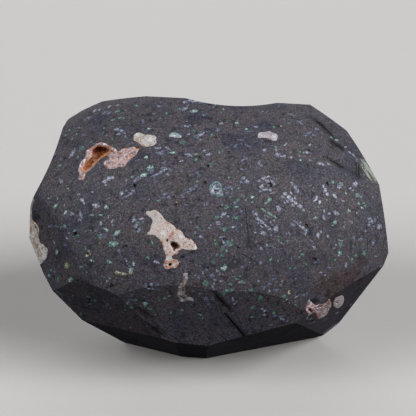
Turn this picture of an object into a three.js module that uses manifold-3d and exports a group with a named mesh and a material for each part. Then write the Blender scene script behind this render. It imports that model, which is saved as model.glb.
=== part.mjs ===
// A lump of amygdaloidal basalt, ground all round with flat wheels, rollers
// and a cutting disc. Its larger gas holes are filled or lined with zeolites,
// each filling a solid of its own that is ground flush with the stone.
// Millimetres, +Z up. The front faces -Y.

import * as THREE from "three";
import { mergeVertices } from "three/addons/utils/BufferGeometryUtils.js";
import Module from "manifold-3d";

const wasm = await Module();
wasm.setup();

const WELD = 1e-4;
const UP = new THREE.Vector3(0, 0, 1);
const AXLE = new THREE.Vector3(0, 1, 0);

// The lump before grinding: an ellipsoid about the middle of the stone.
const MIDDLE = new THREE.Vector3(0, 0, 98);
const LUMP = { half: [181, 120, 129.5], offset: [-3, 0, -6], round: 72, rise: 44 };

// Ground flats. A bearing of 0 faces the front and 90 the right, a rise is
// counted up from level, and the reach is the flat's distance from the middle.
const SLAB = 400;
const FLATS = {
  front_low_left: { bearing: -27, rise: -30, reach: 117 },
  front_low_middle: { bearing: -4, rise: -17, reach: 114 },
  front_low_right: { bearing: 5, rise: -16, reach: 116 },
  under_left: { bearing: -26, rise: -50, reach: 107 },
  under_middle: { bearing: -9, rise: -52, reach: 106.5 },
  under_right: { bearing: 21, rise: -51, reach: 104 },
  corner_right: { bearing: 43, rise: -37, reach: 119 },
  end_left: { bearing: -49, rise: 0, reach: 141 },
  end_left_upper: { bearing: -95, rise: 21.5, reach: 139 },
  end_left_rim: { bearing: -89, rise: 3, reach: 142 },
  end_left_lower: { bearing: -87, rise: -35, reach: 115 },
  end_left_under: { bearing: -85, rise: -23, reach: 128 },
  end_right: { bearing: 94, rise: 7, reach: 135 },
  end_right_lower: { bearing: 83, rise: -21, reach: 135 },
  end_right_upper: { bearing: 106, rise: 23, reach: 127 },
  shoulder_right: { bearing: 119, rise: 45, reach: 125 },
  top: { bearing: 170, rise: 73, reach: 106 },
  shoulder_back: { bearing: -177, rise: 62, reach: 98 },
  shoulder_back_left: { bearing: -146, rise: 43, reach: 108 },
  back_right: { bearing: 142, rise: 6, reach: 113 },
  back_middle: { bearing: -178, rise: 9, reach: 96 },
  back_left: { bearing: -136, rise: -4, reach: 114 },
  back_low: { bearing: 173, rise: -31, reach: 102 },
  back_low_left: { bearing: -131, rise: -41, reach: 111 },
  back_low_right: { bearing: 131, rise: -38, reach: 110 },
  base: { bearing: 0, rise: -90, reach: 98 },
};

// Hollows of a wide roller: its lowest line runs through "at" and is turned
// up from level by "turn", and the bearing and rise point out to its axle.
const ROLLER = { length: 400, round: 120 };
const HOLLOWS = {
  top_saddle: { radius: 160, at: [27, 0, 203.2], bearing: 180, rise: 73, turn: 90 },
  end_left_scoop: { radius: 190, at: [-127.8, 0, 155], bearing: -91.5, rise: 24, turn: 22 },
};

// The sides that fillings, kerfs and pits are laid out on. Their points are
// [right, up] from the middle of the stone, as seen square to the side.
const SIDES = {
  front: { bearing: 0, rise: 22 },
  front_upper: { bearing: 0, rise: 45 },
  front_lower: { bearing: 0, rise: -17 },
  front_crease: { bearing: -4, rise: -8 },
  left: { bearing: -75, rise: -4 },
  right: { bearing: 75, rise: 15 },
  corner_druse: { bearing: 38, rise: -28 },
  corner: { bearing: 43, rise: -37 },
  back_right: { bearing: 142, rise: 6 },
  back: { bearing: -178, rise: 9 },
  back_left: { bearing: -136, rise: -4 },
};

// Kerfs of a cutting disc, each sunk until its slot runs between two points.
const DISC = { radius: 57, thick: 1.8, round: 60 };
const KERFS = [
  { side: "front", from: [82.5, 85.5], to: [98, 70.5] },
  { side: "front", from: [93, 68], to: [105.5, 60.5] },
  { side: "front", from: [91, 53], to: [102.5, 46.5] },
  { side: "front", from: [115.5, 50], to: [115.5, 38] },
  { side: "front", from: [27.5, 18], to: [30, -4] },
  { side: "front", from: [21.5, -15.5], to: [37, -24.5] },
  { side: "front", from: [120.5, 9], to: [122.5, -23] },
  { side: "front_lower", from: [4, 33.5], to: [17.5, 14.5] },
  { side: "front_lower", from: [12.5, 12.5], to: [31.5, -19.5] },
  { side: "front_lower", from: [-54, 14.5], to: [-40, 2] },
  { side: "front_lower", from: [-48, -0.5], to: [-34, -15] },
  { side: "back", from: [-30, 34], to: [-4, 12] },
  { side: "back", from: [38, -6], to: [62, -24] },
  { side: "back_right", from: [-22, 4], to: [-2, 26] },
];

// Open gas holes: where they break the surface, and their radius.
const PIT_BALL = { round: 8, rise: 6 };
const PITS = [
  { side: "front", at: [46.5, 33], radius: 1.9 },
  { side: "front", at: [73.5, 2.5], radius: 1.8 },
  { side: "front", at: [-54, 32.5], radius: 1.5 },
  { side: "front", at: [-2, 34.5], radius: 1.5 },
  { side: "front", at: [0.5, 47], radius: 1.3 },
  { side: "front", at: [-99, -4], radius: 2.2 },
  { side: "front", at: [-89, -19], radius: 1.7 },
  { side: "front", at: [-72, -41.5], radius: 1.4 },
  { side: "front", at: [12, -7.5], radius: 1.6 },
  { side: "front", at: [80, -22.5], radius: 1.7 },
  { side: "front", at: [90, 34], radius: 1.6 },
  { side: "front", at: [77, 59.5], radius: 1.4 },
  { side: "front", at: [-15, 18.5], radius: 1.5 },
  { side: "front", at: [15.5, 57], radius: 1.3 },
  { side: "front", at: [58.5, 88], radius: 1.3 },
  { side: "front", at: [-60, -12.5], radius: 1.3 },
  { side: "front_lower", at: [-43, 34.5], radius: 2 },
  { side: "front_lower", at: [44, 9.5], radius: 1.8 },
  { side: "front_lower", at: [-90.5, 5], radius: 1.6 },
  { side: "front_lower", at: [-5.5, 10.5], radius: 1.8 },
  { side: "right", at: [22, 8], radius: 2 },
  { side: "right", at: [34, -18], radius: 1.6 },
  { side: "back", at: [-54, -12], radius: 2.1 },
  { side: "back", at: [12, 40], radius: 1.7 },
  { side: "back", at: [58, 22], radius: 1.5 },
  { side: "back_left", at: [-14, 18], radius: 1.9 },
  { side: "back_left", at: [10, 26], radius: 1.5 },
];

// A shallow broken hollow in the stone beside the crust of the left end.
const BREAKS = [
  {
    side: "left",
    deep: 2.4,
    outline: [
      [23, 48], [27, 47.5], [32, 45.5], [35.5, 43], [34.5, 39.5], [31, 37.5], [29.5, 39.5], [26, 41.5],
      [22, 43.5],
    ],
  },
];

// Every filling lies in a pocket of its own shape with this much play.
const PLAY = 0.3;

// Fillings: "deep" is the floor's depth under the outline's lowest point,
// "sunk" how far its face lies below the stone's, and each hollow has an
// outline of its own and a depth under the face.
const FILLINGS = {
  amber_and_pink_crust: {
    side: "front",
    deep: 11,
    sunk: 0.6,
    color: 0xb98a6c,
    roughness: 0.45,
    outlines: [
      [
        [-82.5, 65.5], [-79, 66], [-76.5, 64.5], [-74, 63], [-70.5, 62], [-68.5, 60], [-69.5, 57.5],
        [-74, 55.5], [-77, 55.5], [-80.5, 53], [-82.5, 51], [-84.5, 48.5], [-87, 45.5], [-89.5, 43.5],
        [-93, 42], [-95.5, 41.5], [-97.5, 43], [-97.5, 45], [-97, 48.5], [-95, 52], [-92, 55], [-93, 58],
        [-91.5, 60.5], [-88, 62.5], [-85, 64.5],
      ],
      [
        [-71, 60], [-68, 58], [-65, 59.5], [-63, 61], [-60, 62], [-57, 61.5], [-53, 62], [-51, 61],
        [-51.5, 59.5], [-53.5, 55], [-56, 53.5], [-58.5, 51], [-60.5, 48.5], [-63, 46], [-66, 46.5],
        [-69, 45], [-73, 45], [-76, 45], [-77.5, 48], [-78.5, 49.5], [-77.5, 51], [-75.5, 52],
        [-73.5, 53.5], [-73.5, 57],
      ],
      [[-95.5, 43], [-91.5, 43.5], [-92, 38.5], [-94, 36.5], [-98, 37], [-97, 39]],
    ],
    hollows: [
      {
        deep: 7.5,
        outline: [
          [-81.5, 63.5], [-79, 62.8], [-77.5, 62.6], [-75, 60.5], [-73.5, 59.3], [-77.5, 57.2],
          [-81, 54.8], [-84, 52], [-86.5, 49.5], [-89.5, 46.3], [-92, 45], [-94.3, 44.6], [-95, 46],
          [-93, 49.5], [-90.5, 52.5], [-87.8, 55], [-88, 58], [-88, 60.5], [-86, 62.3], [-83.5, 63.4],
        ],
      },
    ],
  },
  cream_filling_upper_left: {
    side: "front_upper",
    deep: 5,
    sunk: 0,
    color: 0xd3cbc4,
    roughness: 0.6,
    outlines: [
      [
        [-56, 29.5], [-53, 31.5], [-51.5, 31.5], [-48.5, 29.5], [-47, 28.5], [-45, 29], [-43.5, 28],
        [-39.5, 27.5], [-38.5, 26.5], [-38.5, 23.5], [-38, 21], [-38.5, 19.5], [-42, 18], [-46, 17.5],
        [-49, 18.5], [-50.5, 19.5], [-50, 21.5], [-53, 22.5], [-54, 24], [-55.5, 23.5], [-56, 26],
      ],
    ],
  },
  pale_filling_top: {
    side: "front_upper",
    deep: 3,
    sunk: 0,
    color: 0xb9c4c4,
    roughness: 0.6,
    outlines: [
      [
        [-29.5, 27.5], [-26, 30], [-24.5, 30], [-22.5, 28], [-20, 27], [-19, 25.5], [-19.5, 24],
        [-21, 24], [-24.5, 24.5], [-27, 25.5], [-29, 25],
      ],
    ],
  },
  cream_filling_upper_right: {
    side: "front_upper",
    deep: 4,
    sunk: 0,
    color: 0xcfc9c4,
    roughness: 0.6,
    outlines: [
      [
        [37, 26.5], [38, 28.5], [38.5, 30], [40.5, 31.5], [42.5, 31.5], [46.5, 33], [48, 33], [49, 31.5],
        [52.5, 31], [53.5, 29], [53, 27], [52.5, 25], [51, 24], [49.5, 24], [47, 25], [45.5, 26],
        [42.5, 26], [41.5, 27], [40, 25.5], [38.5, 25],
      ],
    ],
  },
  star_filling: {
    side: "front",
    deep: 8,
    sunk: 0,
    color: 0xd9cfc4,
    roughness: 0.55,
    outlines: [
      [
        [-46, 11.5], [-44.5, 14], [-42.5, 13.5], [-40.5, 14], [-38.5, 15], [-37, 14], [-35, 12.5],
        [-33, 10.5], [-31.5, 7.5], [-30, 6], [-27.5, 5], [-25, 3], [-23, 1.5], [-20, -0.5], [-18, -2],
        [-16.5, -6], [-13.5, -6.5], [-11, -7.5], [-8.5, -11], [-7, -13.5], [-8.5, -15], [-14.5, -15],
        [-18, -14], [-20, -14.5], [-21.5, -17], [-23, -19], [-25, -18.5], [-26.5, -19.5], [-27, -21.5],
        [-24, -22], [-21, -22.5], [-21, -25], [-22, -27.5], [-25, -28.5], [-29.5, -29.5], [-32, -28.5],
        [-32.5, -26], [-31.5, -24], [-30.5, -21], [-31.5, -17], [-32.5, -14.5], [-33, -11.5],
        [-34, -9.5], [-35.5, -7], [-37, -5.5], [-39.5, -4], [-45.5, -4], [-43, -1.5], [-41.5, 0.5],
        [-41.5, 3], [-40.5, 5.5], [-41, 8], [-42.5, 9.5],
      ],
    ],
    hollows: [
      {
        deep: 5,
        outline: [
          [-25.5, -8.5], [-23, -10], [-20, -12], [-21, -14], [-23.5, -14.5], [-24.5, -15.5],
          [-25.5, -14], [-27.5, -11.5], [-27.5, -9.5],
        ],
      },
      { deep: 5, outline: [[-27.5, -24.3], [-26, -26], [-26.5, -27], [-29, -27], [-29.5, -26]] },
      { deep: 2, outline: [[-29.5, -7.2], [-28.3, -8.5], [-29.5, -9.8], [-30.7, -8.5]] },
    ],
  },
  left_end_crust: {
    side: "left",
    deep: 5,
    sunk: 0,
    color: 0xc4beb6,
    roughness: 0.6,
    outlines: [
      [
        [25, 58.5], [22.5, 55.5], [21, 52], [20, 49], [19, 45], [19, 41], [22.5, 40], [25.5, 39],
        [27.5, 38], [29, 35], [27.5, 31.5], [27, 28.5], [28.5, 25.5], [29.5, 23.5], [33.5, 24.5],
        [35, 22.5], [37.5, 23], [38.5, 20.5], [37, 16], [36, 13.5], [32.5, 9.5], [29, 6], [24, 3],
        [18, 2], [13, 7], [8, 9], [4, 17], [-2, 22], [-5, 30], [-2, 38], [2, 43], [7, 46], [13, 52],
        [19, 58],
      ],
    ],
  },
  low_right_druse: {
    side: "corner_druse",
    deep: 6,
    sunk: 0.8,
    color: 0xb28676,
    roughness: 0.5,
    outlines: [
      [
        [-2, 44.5], [1.5, 45], [3, 46.5], [4.5, 45], [9, 42.5], [11.5, 42.5], [12, 46], [10, 49.5],
        [13.5, 47], [20.5, 38.5], [25.5, 31.5], [29.5, 25], [29.5, 22], [32.5, 16], [35, 10], [36, 6],
        [33.5, 5.5], [29.5, 6.5], [28, 6], [23.5, 10.5], [17, 19], [9.5, 28], [4, 34], [1, 37.5],
      ],
      [
        [-5, 52.5], [-5.5, 50], [-4.5, 48], [-1.5, 46], [2.5, 40], [4.5, 31.5], [2.5, 31], [-1, 34.5],
        [1, 30], [5, 21.5], [3, 22], [-1.5, 31], [-4, 36.5], [-7, 40], [-8, 43.5], [-7, 45.5],
        [-6.5, 48.5],
      ],
    ],
    hollows: [
      { deep: 3, outline: [[-4.5, 41], [-2.5, 41.5], [-0.5, 37.8], [-2, 36.5], [-4, 38]] },
      { deep: 2.5, outline: [[5.5, 39.5], [9, 40.5], [12, 36], [8.5, 35.5], [6, 37.5]] },
    ],
  },
  low_right_oval: {
    side: "corner",
    deep: 4,
    sunk: 0.4,
    color: 0xbcb2b2,
    roughness: 0.5,
    outlines: [
      [
        [18.5, 62.5], [25.5, 57], [32.5, 48], [37.5, 40], [40, 34], [39, 31], [35, 32], [28, 38.5],
        [21, 45.5], [15, 54], [12, 60], [11, 63.5], [15.5, 62],
      ],
    ],
  },
  right_end_filling: {
    side: "right",
    deep: 4,
    sunk: 0,
    color: 0xa9aeac,
    roughness: 0.6,
    outlines: [
      [
        [-14, 42], [-17, 38.5], [-19.5, 34.5], [-20.5, 32.5], [-20.5, 29.5], [-21, 26.5], [-20.5, 23],
        [-18, 20], [-13, 19.5], [-9, 22], [-6, 24.5], [-4.5, 30], [-6, 35], [-9.5, 39.5],
      ],
    ],
  },
  corner_edge_filling: {
    side: "corner",
    deep: 4,
    sunk: 0,
    color: 0x8c8893,
    roughness: 0.6,
    outlines: [
      [
        [57.5, -23], [60, -26.5], [64, -22.5], [68.5, -17], [71.5, -12.5], [70, -9.5], [65.5, -10.5],
        [62, -13.5], [59, -18],
      ],
    ],
  },
  crease_vein: {
    side: "front_crease",
    deep: 4,
    sunk: 0.3,
    color: 0x85746f,
    roughness: 0.7,
    outlines: [
      [
        [-9.5, 30], [-5.5, 30], [-6, 24.5], [-7.5, 21.5], [-8.5, 18], [-7.5, 14], [-8.3, 11], [-6, 9],
        [-4, 9.5], [-2, 6.5], [-2.5, 2], [-4.5, 4.5], [-6.5, 6], [-8.5, 4.5], [-11, 3], [-13, 4],
        [-14, 8], [-15, 10.5], [-14, 14], [-13, 20], [-10.5, 22.5], [-9.3, 25], [-10, 27],
      ],
    ],
  },
  green_rimmed_filling: {
    side: "front",
    deep: 4,
    sunk: 0,
    color: 0x83a09e,
    roughness: 0.65,
    outlines: [
      [
        [4.5, 35.5], [6.5, 36], [8.5, 35.5], [10, 34], [10.5, 32], [10.7, 29], [12, 26.5], [11.5, 24.5],
        [10, 23.5], [7.5, 24], [6, 25], [2.5, 25.3], [1.5, 27], [1.5, 28], [1, 30.5], [1.5, 32],
        [2.5, 33.5],
      ],
    ],
  },
  back_filling: {
    side: "back",
    deep: 5,
    sunk: 0,
    color: 0xcdc6bd,
    roughness: 0.6,
    outlines: [
      [
        [-26, -8], [-20, -3], [-12, -5], [-5, 1], [3, 0], [9, 4], [16, 1], [20, -5], [15, -10], [8, -9],
        [2, -14], [-5, -13], [-9, -18], [-15, -19], [-18, -14], [-24, -14],
      ],
    ],
  },
  back_druse: {
    side: "back_right",
    deep: 9,
    sunk: 0.6,
    color: 0xb59a92,
    roughness: 0.5,
    outlines: [
      [
        [-2, -10], [4, -6], [11, -7], [17, -2], [24, -4], [27, -11], [22, -17], [14, -18], [9, -23],
        [2, -21], [-3, -16],
      ],
    ],
    hollows: [
      {
        deep: 5,
        outline: [[3, -12], [8, -10.5], [14, -11], [18, -8], [21, -11], [17, -14], [11, -15], [6, -17]],
      },
    ],
  },
  back_left_filling: {
    side: "back_left",
    deep: 3,
    sunk: 0,
    color: 0xbfc6c1,
    roughness: 0.6,
    outlines: [
      [[-12, 4], [-7, 8], [-1, 7], [4, 9], [8, 5], [5, 0], [-2, -1], [-6, -4], [-11, -2]],
    ],
  },
};

const BASALT = { color: 0x4a474b, roughness: 0.85 };

function facing({ bearing, rise }) {
  const b = THREE.MathUtils.degToRad(bearing);
  const r = THREE.MathUtils.degToRad(rise);
  return new THREE.Vector3(Math.sin(b) * Math.cos(r), -Math.cos(b) * Math.cos(r), Math.sin(r));
}

function solid(geometry) {
  const bare = geometry.clone();
  bare.deleteAttribute("normal");
  bare.deleteAttribute("uv");
  const merged = mergeVertices(bare, WELD);
  return new wasm.Manifold(
    new wasm.Mesh({
      numProp: 3,
      vertProperties: new Float32Array(merged.attributes.position.array),
      triVerts: new Uint32Array(merged.index.array),
    }),
  );
}

function geometryOf(body) {
  const { vertProperties, triVerts } = body.getMesh();
  const geometry = new THREE.BufferGeometry();
  geometry.setAttribute("position", new THREE.BufferAttribute(vertProperties, 3));
  geometry.setIndex(new THREE.BufferAttribute(triVerts, 1));
  return geometry;
}

function lump() {
  const ball = new THREE.SphereGeometry(1, LUMP.round, LUMP.rise);
  ball.scale(...LUMP.half);
  ball.translate(...MIDDLE.clone().add(new THREE.Vector3(...LUMP.offset)).toArray());
  return solid(ball);
}

function slab(flat) {
  const out = facing(flat);
  const block = new THREE.BoxGeometry(SLAB, SLAB, SLAB);
  block.applyQuaternion(new THREE.Quaternion().setFromUnitVectors(UP, out));
  block.translate(...MIDDLE.clone().addScaledVector(out, flat.reach + SLAB / 2).toArray());
  return solid(block);
}

function wheel(radius, thick, round, axle, centre) {
  const disc = new THREE.CylinderGeometry(radius, radius, thick, round);
  disc.applyQuaternion(new THREE.Quaternion().setFromUnitVectors(AXLE, axle));
  disc.translate(...centre.toArray());
  return solid(disc);
}

function roller(hollow) {
  const out = facing(hollow);
  const level = new THREE.Vector3().crossVectors(UP, out).normalize();
  const axle = level.applyAxisAngle(out, THREE.MathUtils.degToRad(hollow.turn));
  const centre = new THREE.Vector3(...hollow.at).addScaledVector(out, hollow.radius);
  return wheel(hollow.radius, ROLLER.length, ROLLER.round, axle, centre);
}

function sideOf(name) {
  const out = facing(SIDES[name]);
  const b = THREE.MathUtils.degToRad(SIDES[name].bearing);
  const right = new THREE.Vector3(Math.cos(b), Math.sin(b), 0);
  const up = new THREE.Vector3().crossVectors(out, right);
  return { out, right, up };
}

function onSide({ right, up, out }, [u, v], reach) {
  return MIDDLE.clone().addScaledVector(right, u).addScaledVector(up, v).addScaledVector(out, reach);
}

// Where a line square to the side meets the ground stone, with its normal.
function skin(side, point, stoneMesh) {
  const start = onSide(side, point, SLAB);
  const [hit] = new THREE.Raycaster(start, side.out.clone().negate()).intersectObject(stoneMesh);
  if (!hit) return null;
  return { point: hit.point, normal: hit.face.normal, reach: SLAB - hit.distance };
}

// An outline with each edge moved out square to itself.
function grown(outline, by) {
  const corners = outline.map(([u, v]) => new THREE.Vector2(u, v));
  const turn = Math.sign(THREE.ShapeUtils.area(corners));
  const normals = corners.map((corner, i) => {
    const edge = corners[(i + 1) % corners.length].clone().sub(corner).normalize();
    return new THREE.Vector2(edge.y * turn, -edge.x * turn);
  });
  return corners.map((corner, i) => {
    const before = normals[(i + normals.length - 1) % normals.length];
    const mitre = before.clone().add(normals[i]).multiplyScalar(by / (1 + before.dot(normals[i])));
    return corner.clone().add(mitre).toArray();
  });
}

function prism(side, outline, from, to) {
  const shape = new THREE.Shape(outline.map(([u, v]) => new THREE.Vector2(u, v)));
  const bar = new THREE.ExtrudeGeometry(shape, { depth: to - from, bevelEnabled: false });
  const placed = new THREE.Matrix4().makeBasis(side.right, side.up, side.out);
  bar.applyMatrix4(placed.setPosition(onSide(side, [0, 0], from)));
  return solid(bar);
}

function floorUnder(side, outline, deep, stoneMesh) {
  const reaches = outline.map((point) => skin(side, point, stoneMesh)).filter(Boolean);
  return Math.min(...reaches.map(({ reach }) => reach)) - deep;
}

function kerf({ side, from, to }, stoneMesh) {
  const view = sideOf(side);
  const start = skin(view, from, stoneMesh).point;
  const end = skin(view, to, stoneMesh).point;
  const middle = skin(view, [(from[0] + to[0]) / 2, (from[1] + to[1]) / 2], stoneMesh);
  const chord = new THREE.Vector3().subVectors(end, start);
  const axle = new THREE.Vector3().crossVectors(chord, middle.normal).normalize();
  const lift = new THREE.Vector3().crossVectors(axle, chord).normalize();
  const raised = Math.sqrt(DISC.radius ** 2 - chord.lengthSq() / 4);
  const centre = start.clone().add(end).multiplyScalar(0.5).addScaledVector(lift, raised);
  return wheel(DISC.radius, DISC.thick, DISC.round, axle, centre);
}

function pit({ side, at, radius }, stoneMesh) {
  const ball = new THREE.SphereGeometry(radius, PIT_BALL.round, PIT_BALL.rise);
  ball.translate(...skin(sideOf(side), at, stoneMesh).point.toArray());
  return solid(ball);
}

function filling({ side, deep, sunk, outlines, hollows = [] }, stone, stoneMesh) {
  const view = sideOf(side);
  const face = stone.translate(view.out.clone().multiplyScalar(-sunk).toArray());
  const floor = Math.min(...outlines.map((outline) => floorUnder(view, outline, deep, stoneMesh)));
  const plugs = outlines.map((outline) => prism(view, outline, floor, SLAB));
  let body = wasm.Manifold.union(plugs).intersect(face);
  for (const { deep: depth, outline } of hollows) {
    body = body.subtract(prism(view, outline, floorUnder(view, outline, depth, stoneMesh), SLAB));
  }
  const pockets = outlines.map((outline) => prism(view, grown(outline, PLAY), floor - PLAY, SLAB));
  return { body, pocket: wasm.Manifold.union(pockets) };
}

function piece(name, body, { color, roughness }) {
  const material = new THREE.MeshStandardMaterial({ color, roughness, metalness: 0 });
  const mesh = new THREE.Mesh(geometryOf(body), material);
  mesh.name = name;
  return mesh;
}

let stone = lump();
for (const flat of Object.values(FLATS)) stone = stone.subtract(slab(flat));
for (const hollow of Object.values(HOLLOWS)) stone = stone.subtract(roller(hollow));
const stoneMesh = new THREE.Mesh(geometryOf(stone));

const specimen = new THREE.Group();
let basalt = stone;
for (const [name, spec] of Object.entries(FILLINGS)) {
  const { body, pocket } = filling(spec, stone, stoneMesh);
  basalt = basalt.subtract(pocket);
  specimen.add(piece(name, body, spec));
}
for (const { side, deep, outline } of BREAKS) {
  const view = sideOf(side);
  const sunk = stone.translate(view.out.clone().multiplyScalar(-deep).toArray());
  basalt = basalt.subtract(prism(view, outline, 0, SLAB).subtract(sunk));
}
for (const cut of KERFS) basalt = basalt.subtract(kerf(cut, stoneMesh));
for (const hole of PITS) basalt = basalt.subtract(pit(hole, stoneMesh));
specimen.add(piece("basalt", basalt, BASALT));

// The origin lies under the middle of the stone's bounding box, on its base.
const { min, max } = stone.boundingBox();
specimen.position.set(-(min[0] + max[0]) / 2, -(min[1] + max[1]) / 2, -min[2]);

export default specimen;
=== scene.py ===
"""A lump of amygdaloidal basalt, ground all round, with its gas holes filled by zeolites.

The stone is built again from its ground flats at a finer grain than the CAD solid, every
larger filling is grown from its own CAD node, and small inclusions are laid over the surface.
Everything is in metres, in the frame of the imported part.
"""

import logging
import math
import random
from contextlib import contextmanager
from dataclasses import dataclass
from enum import Enum
from typing import Any, Iterable, Iterator

import bpy
import numpy as np
from bpy.types import Material, Node, NodeSocket, NodeTree, Object
from mathutils import Matrix, Quaternion, Vector
from mathutils.bvhtree import BVHTree
from mathutils.kdtree import KDTree


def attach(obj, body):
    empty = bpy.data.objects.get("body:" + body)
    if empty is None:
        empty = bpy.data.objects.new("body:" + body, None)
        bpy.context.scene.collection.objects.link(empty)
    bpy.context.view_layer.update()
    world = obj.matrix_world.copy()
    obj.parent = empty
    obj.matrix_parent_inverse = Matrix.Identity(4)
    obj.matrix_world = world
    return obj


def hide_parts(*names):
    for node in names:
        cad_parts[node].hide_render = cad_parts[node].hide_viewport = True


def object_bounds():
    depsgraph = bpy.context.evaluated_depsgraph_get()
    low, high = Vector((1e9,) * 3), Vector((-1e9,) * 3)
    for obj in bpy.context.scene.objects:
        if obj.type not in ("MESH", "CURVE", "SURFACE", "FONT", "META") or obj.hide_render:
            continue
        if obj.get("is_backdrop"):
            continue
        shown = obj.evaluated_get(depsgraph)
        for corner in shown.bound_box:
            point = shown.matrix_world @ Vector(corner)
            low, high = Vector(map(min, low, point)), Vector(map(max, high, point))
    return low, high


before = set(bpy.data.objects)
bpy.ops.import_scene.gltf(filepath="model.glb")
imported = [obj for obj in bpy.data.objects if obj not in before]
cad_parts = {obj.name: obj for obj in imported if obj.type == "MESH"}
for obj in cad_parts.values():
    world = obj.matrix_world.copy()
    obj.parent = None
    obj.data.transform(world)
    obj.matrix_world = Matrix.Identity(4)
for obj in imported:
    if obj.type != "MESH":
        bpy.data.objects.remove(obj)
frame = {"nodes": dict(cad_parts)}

LOG = logging.getLogger("stone")
MM = 0.001
# The point that every flat's reach is counted from, in millimetres.
MIDDLE = Vector((1.092, 8.842, 98.0))
CAD_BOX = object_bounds()


class Side(Enum):
    """The sides that cuts and inclusions are laid out on, as (bearing, rise) in degrees."""

    FRONT = (0.0, 22.0)
    FRONT_LOWER = (0.0, -17.0)
    FRONT_UPPER = (0.0, 45.0)
    FRONT_CREASE = (-4.0, -8.0)
    LEFT = (-75.0, -4.0)
    RIGHT = (75.0, 15.0)
    CORNER_DRUSE = (38.0, -28.0)
    CORNER = (43.0, -37.0)
    BACK_RIGHT = (142.0, 6.0)
    BACK = (-178.0, 9.0)
    BACK_LEFT = (-136.0, -4.0)

    @property
    def out(self) -> Vector:
        """The side's outward direction."""
        return facing(*self.value)

    @property
    def right(self) -> Vector:
        """The level direction to the right, as seen square to the side."""
        bearing = math.radians(self.value[0])
        return Vector((math.cos(bearing), math.sin(bearing), 0.0))

    @property
    def up(self) -> Vector:
        """The direction up the side."""
        return self.out.cross(self.right)

    def at(self, u: float, v: float, reach: float = 0.0) -> Vector:
        """A point in metres, from millimetres right of, up from and out of the middle."""
        return (MIDDLE + self.right * u + self.up * v + self.out * reach) * MM


def facing(bearing: float, rise: float) -> Vector:
    """The direction with this bearing, 0 to the front and 90 to the right, and this rise."""
    b, r = math.radians(bearing), math.radians(rise)
    return Vector((math.sin(b) * math.cos(r), -math.cos(b) * math.cos(r), math.sin(r)))


def linear(colour: str, alpha: float = 1.0) -> tuple[float, float, float, float]:
    """Turns an sRGB hex colour to linear values.

    Args:
        colour: six hex digits.
        alpha: the fourth value.

    Returns:
        Red, green, blue and alpha.
    """
    parts = [int(colour[i : i + 2], 16) / 255 for i in (0, 2, 4)]
    red, green, blue = (p / 12.92 if p <= 0.04045 else ((p + 0.055) / 1.055) ** 2.4 for p in parts)
    return (red, green, blue, alpha)


def add(tree: NodeTree, kind: str, inputs: dict | None = None, **settings: Any) -> Node:
    """Adds one node with its settings and links.

    A Mix of colours takes its factor and its two colours at 0, 6 and 7. A MapRange takes its value at
    0, the range it comes from at 1 and 2, and the range it goes to at 3 and 4.

    Args:
        tree: the tree it goes into.
        kind: the node's type name, without the ShaderNode before it.
        inputs: a socket's name or number to a value, or to the output that feeds it.
        **settings: the node's own properties.

    Returns:
        The new node.
    """
    made = tree.nodes.new(f"ShaderNode{kind}")
    for name, value in settings.items():
        setattr(made, name, value)
    for name, value in (inputs or {}).items():
        if isinstance(value, NodeSocket):
            tree.links.new(value, made.inputs[name])
        else:
            made.inputs[name].default_value = value
    return made


def begin_material(name: str) -> tuple[Material, NodeTree, NodeSocket]:
    """Starts a material.

    Args:
        name: what the material really is.

    Returns:
        The material, its empty node tree and the object coordinates.
    """
    material = bpy.data.materials.new(name)
    material.use_nodes = True
    tree = material.node_tree
    tree.nodes.clear()
    return material, tree, add(tree, "TexCoord").outputs["Object"]


def steps(ramp: Node, colours: list[tuple[float, str]], mode: str = "LINEAR") -> None:
    """Fills a colour ramp.

    Args:
        ramp: the ColorRamp node.
        colours: places from 0 to 1 and their sRGB hex colours.
        mode: the ramp's interpolation.
    """
    ramp.color_ramp.interpolation = mode
    elements = ramp.color_ramp.elements
    while len(elements) < len(colours):
        elements.new(1.0)
    for element, (place, colour) in zip(elements, colours):
        element.position = place
        element.color = linear(colour)


def active(piece: Object) -> None:
    """Makes this piece the only one selected, and the active one."""
    bpy.ops.object.select_all(action="DESELECT")
    piece.select_set(True)
    bpy.context.view_layer.objects.active = piece


def edit(piece: Object, mode: str = "FACE") -> None:
    """Opens a piece in edit mode with nothing selected.

    Args:
        piece: the mesh object.
        mode: VERT, EDGE or FACE.
    """
    active(piece)
    bpy.ops.object.mode_set(mode="EDIT")
    bpy.ops.mesh.select_mode(type=mode)
    bpy.ops.mesh.select_all(action="DESELECT")
    bpy.ops.object.mode_set(mode="OBJECT")


@contextmanager
def whole_mesh(piece: Object) -> Iterator[None]:
    """Edits a piece with all of its mesh selected."""
    active(piece)
    bpy.ops.object.mode_set(mode="EDIT")
    bpy.ops.mesh.select_all(action="SELECT")
    yield
    bpy.ops.object.mode_set(mode="OBJECT")


def finish_modifier(piece: Object, kind: str, **settings: Any) -> None:
    """Adds a modifier and applies it.

    Args:
        piece: the mesh object.
        kind: the modifier's type.
        **settings: its properties.
    """
    active(piece)
    modifier = piece.modifiers.new(kind.title(), kind)
    for name, value in settings.items():
        setattr(modifier, name, value)
    bpy.ops.object.modifier_apply(modifier=modifier.name)


def carve(piece: Object, tool: Object, how: str = "DIFFERENCE") -> None:
    """Cuts a piece with a closed tool, which is then removed.

    Args:
        piece: the mesh object that is kept.
        tool: the cutter.
        how: the boolean operation.
    """
    finish_modifier(piece, "BOOLEAN", operation=how, solver="MANIFOLD", object=tool)
    bpy.data.objects.remove(tool)


def dress(piece: Object, material: Material) -> None:
    """Gives the whole piece one material."""
    piece.data.materials.clear()
    piece.data.materials.append(material)
    piece.data.polygons.foreach_set("material_index", [0] * len(piece.data.polygons))


def place(piece: Object) -> None:
    """Applies a piece's place, turn and scale to its mesh."""
    active(piece)
    bpy.ops.object.transform_apply(location=True, rotation=True, scale=True)


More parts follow.
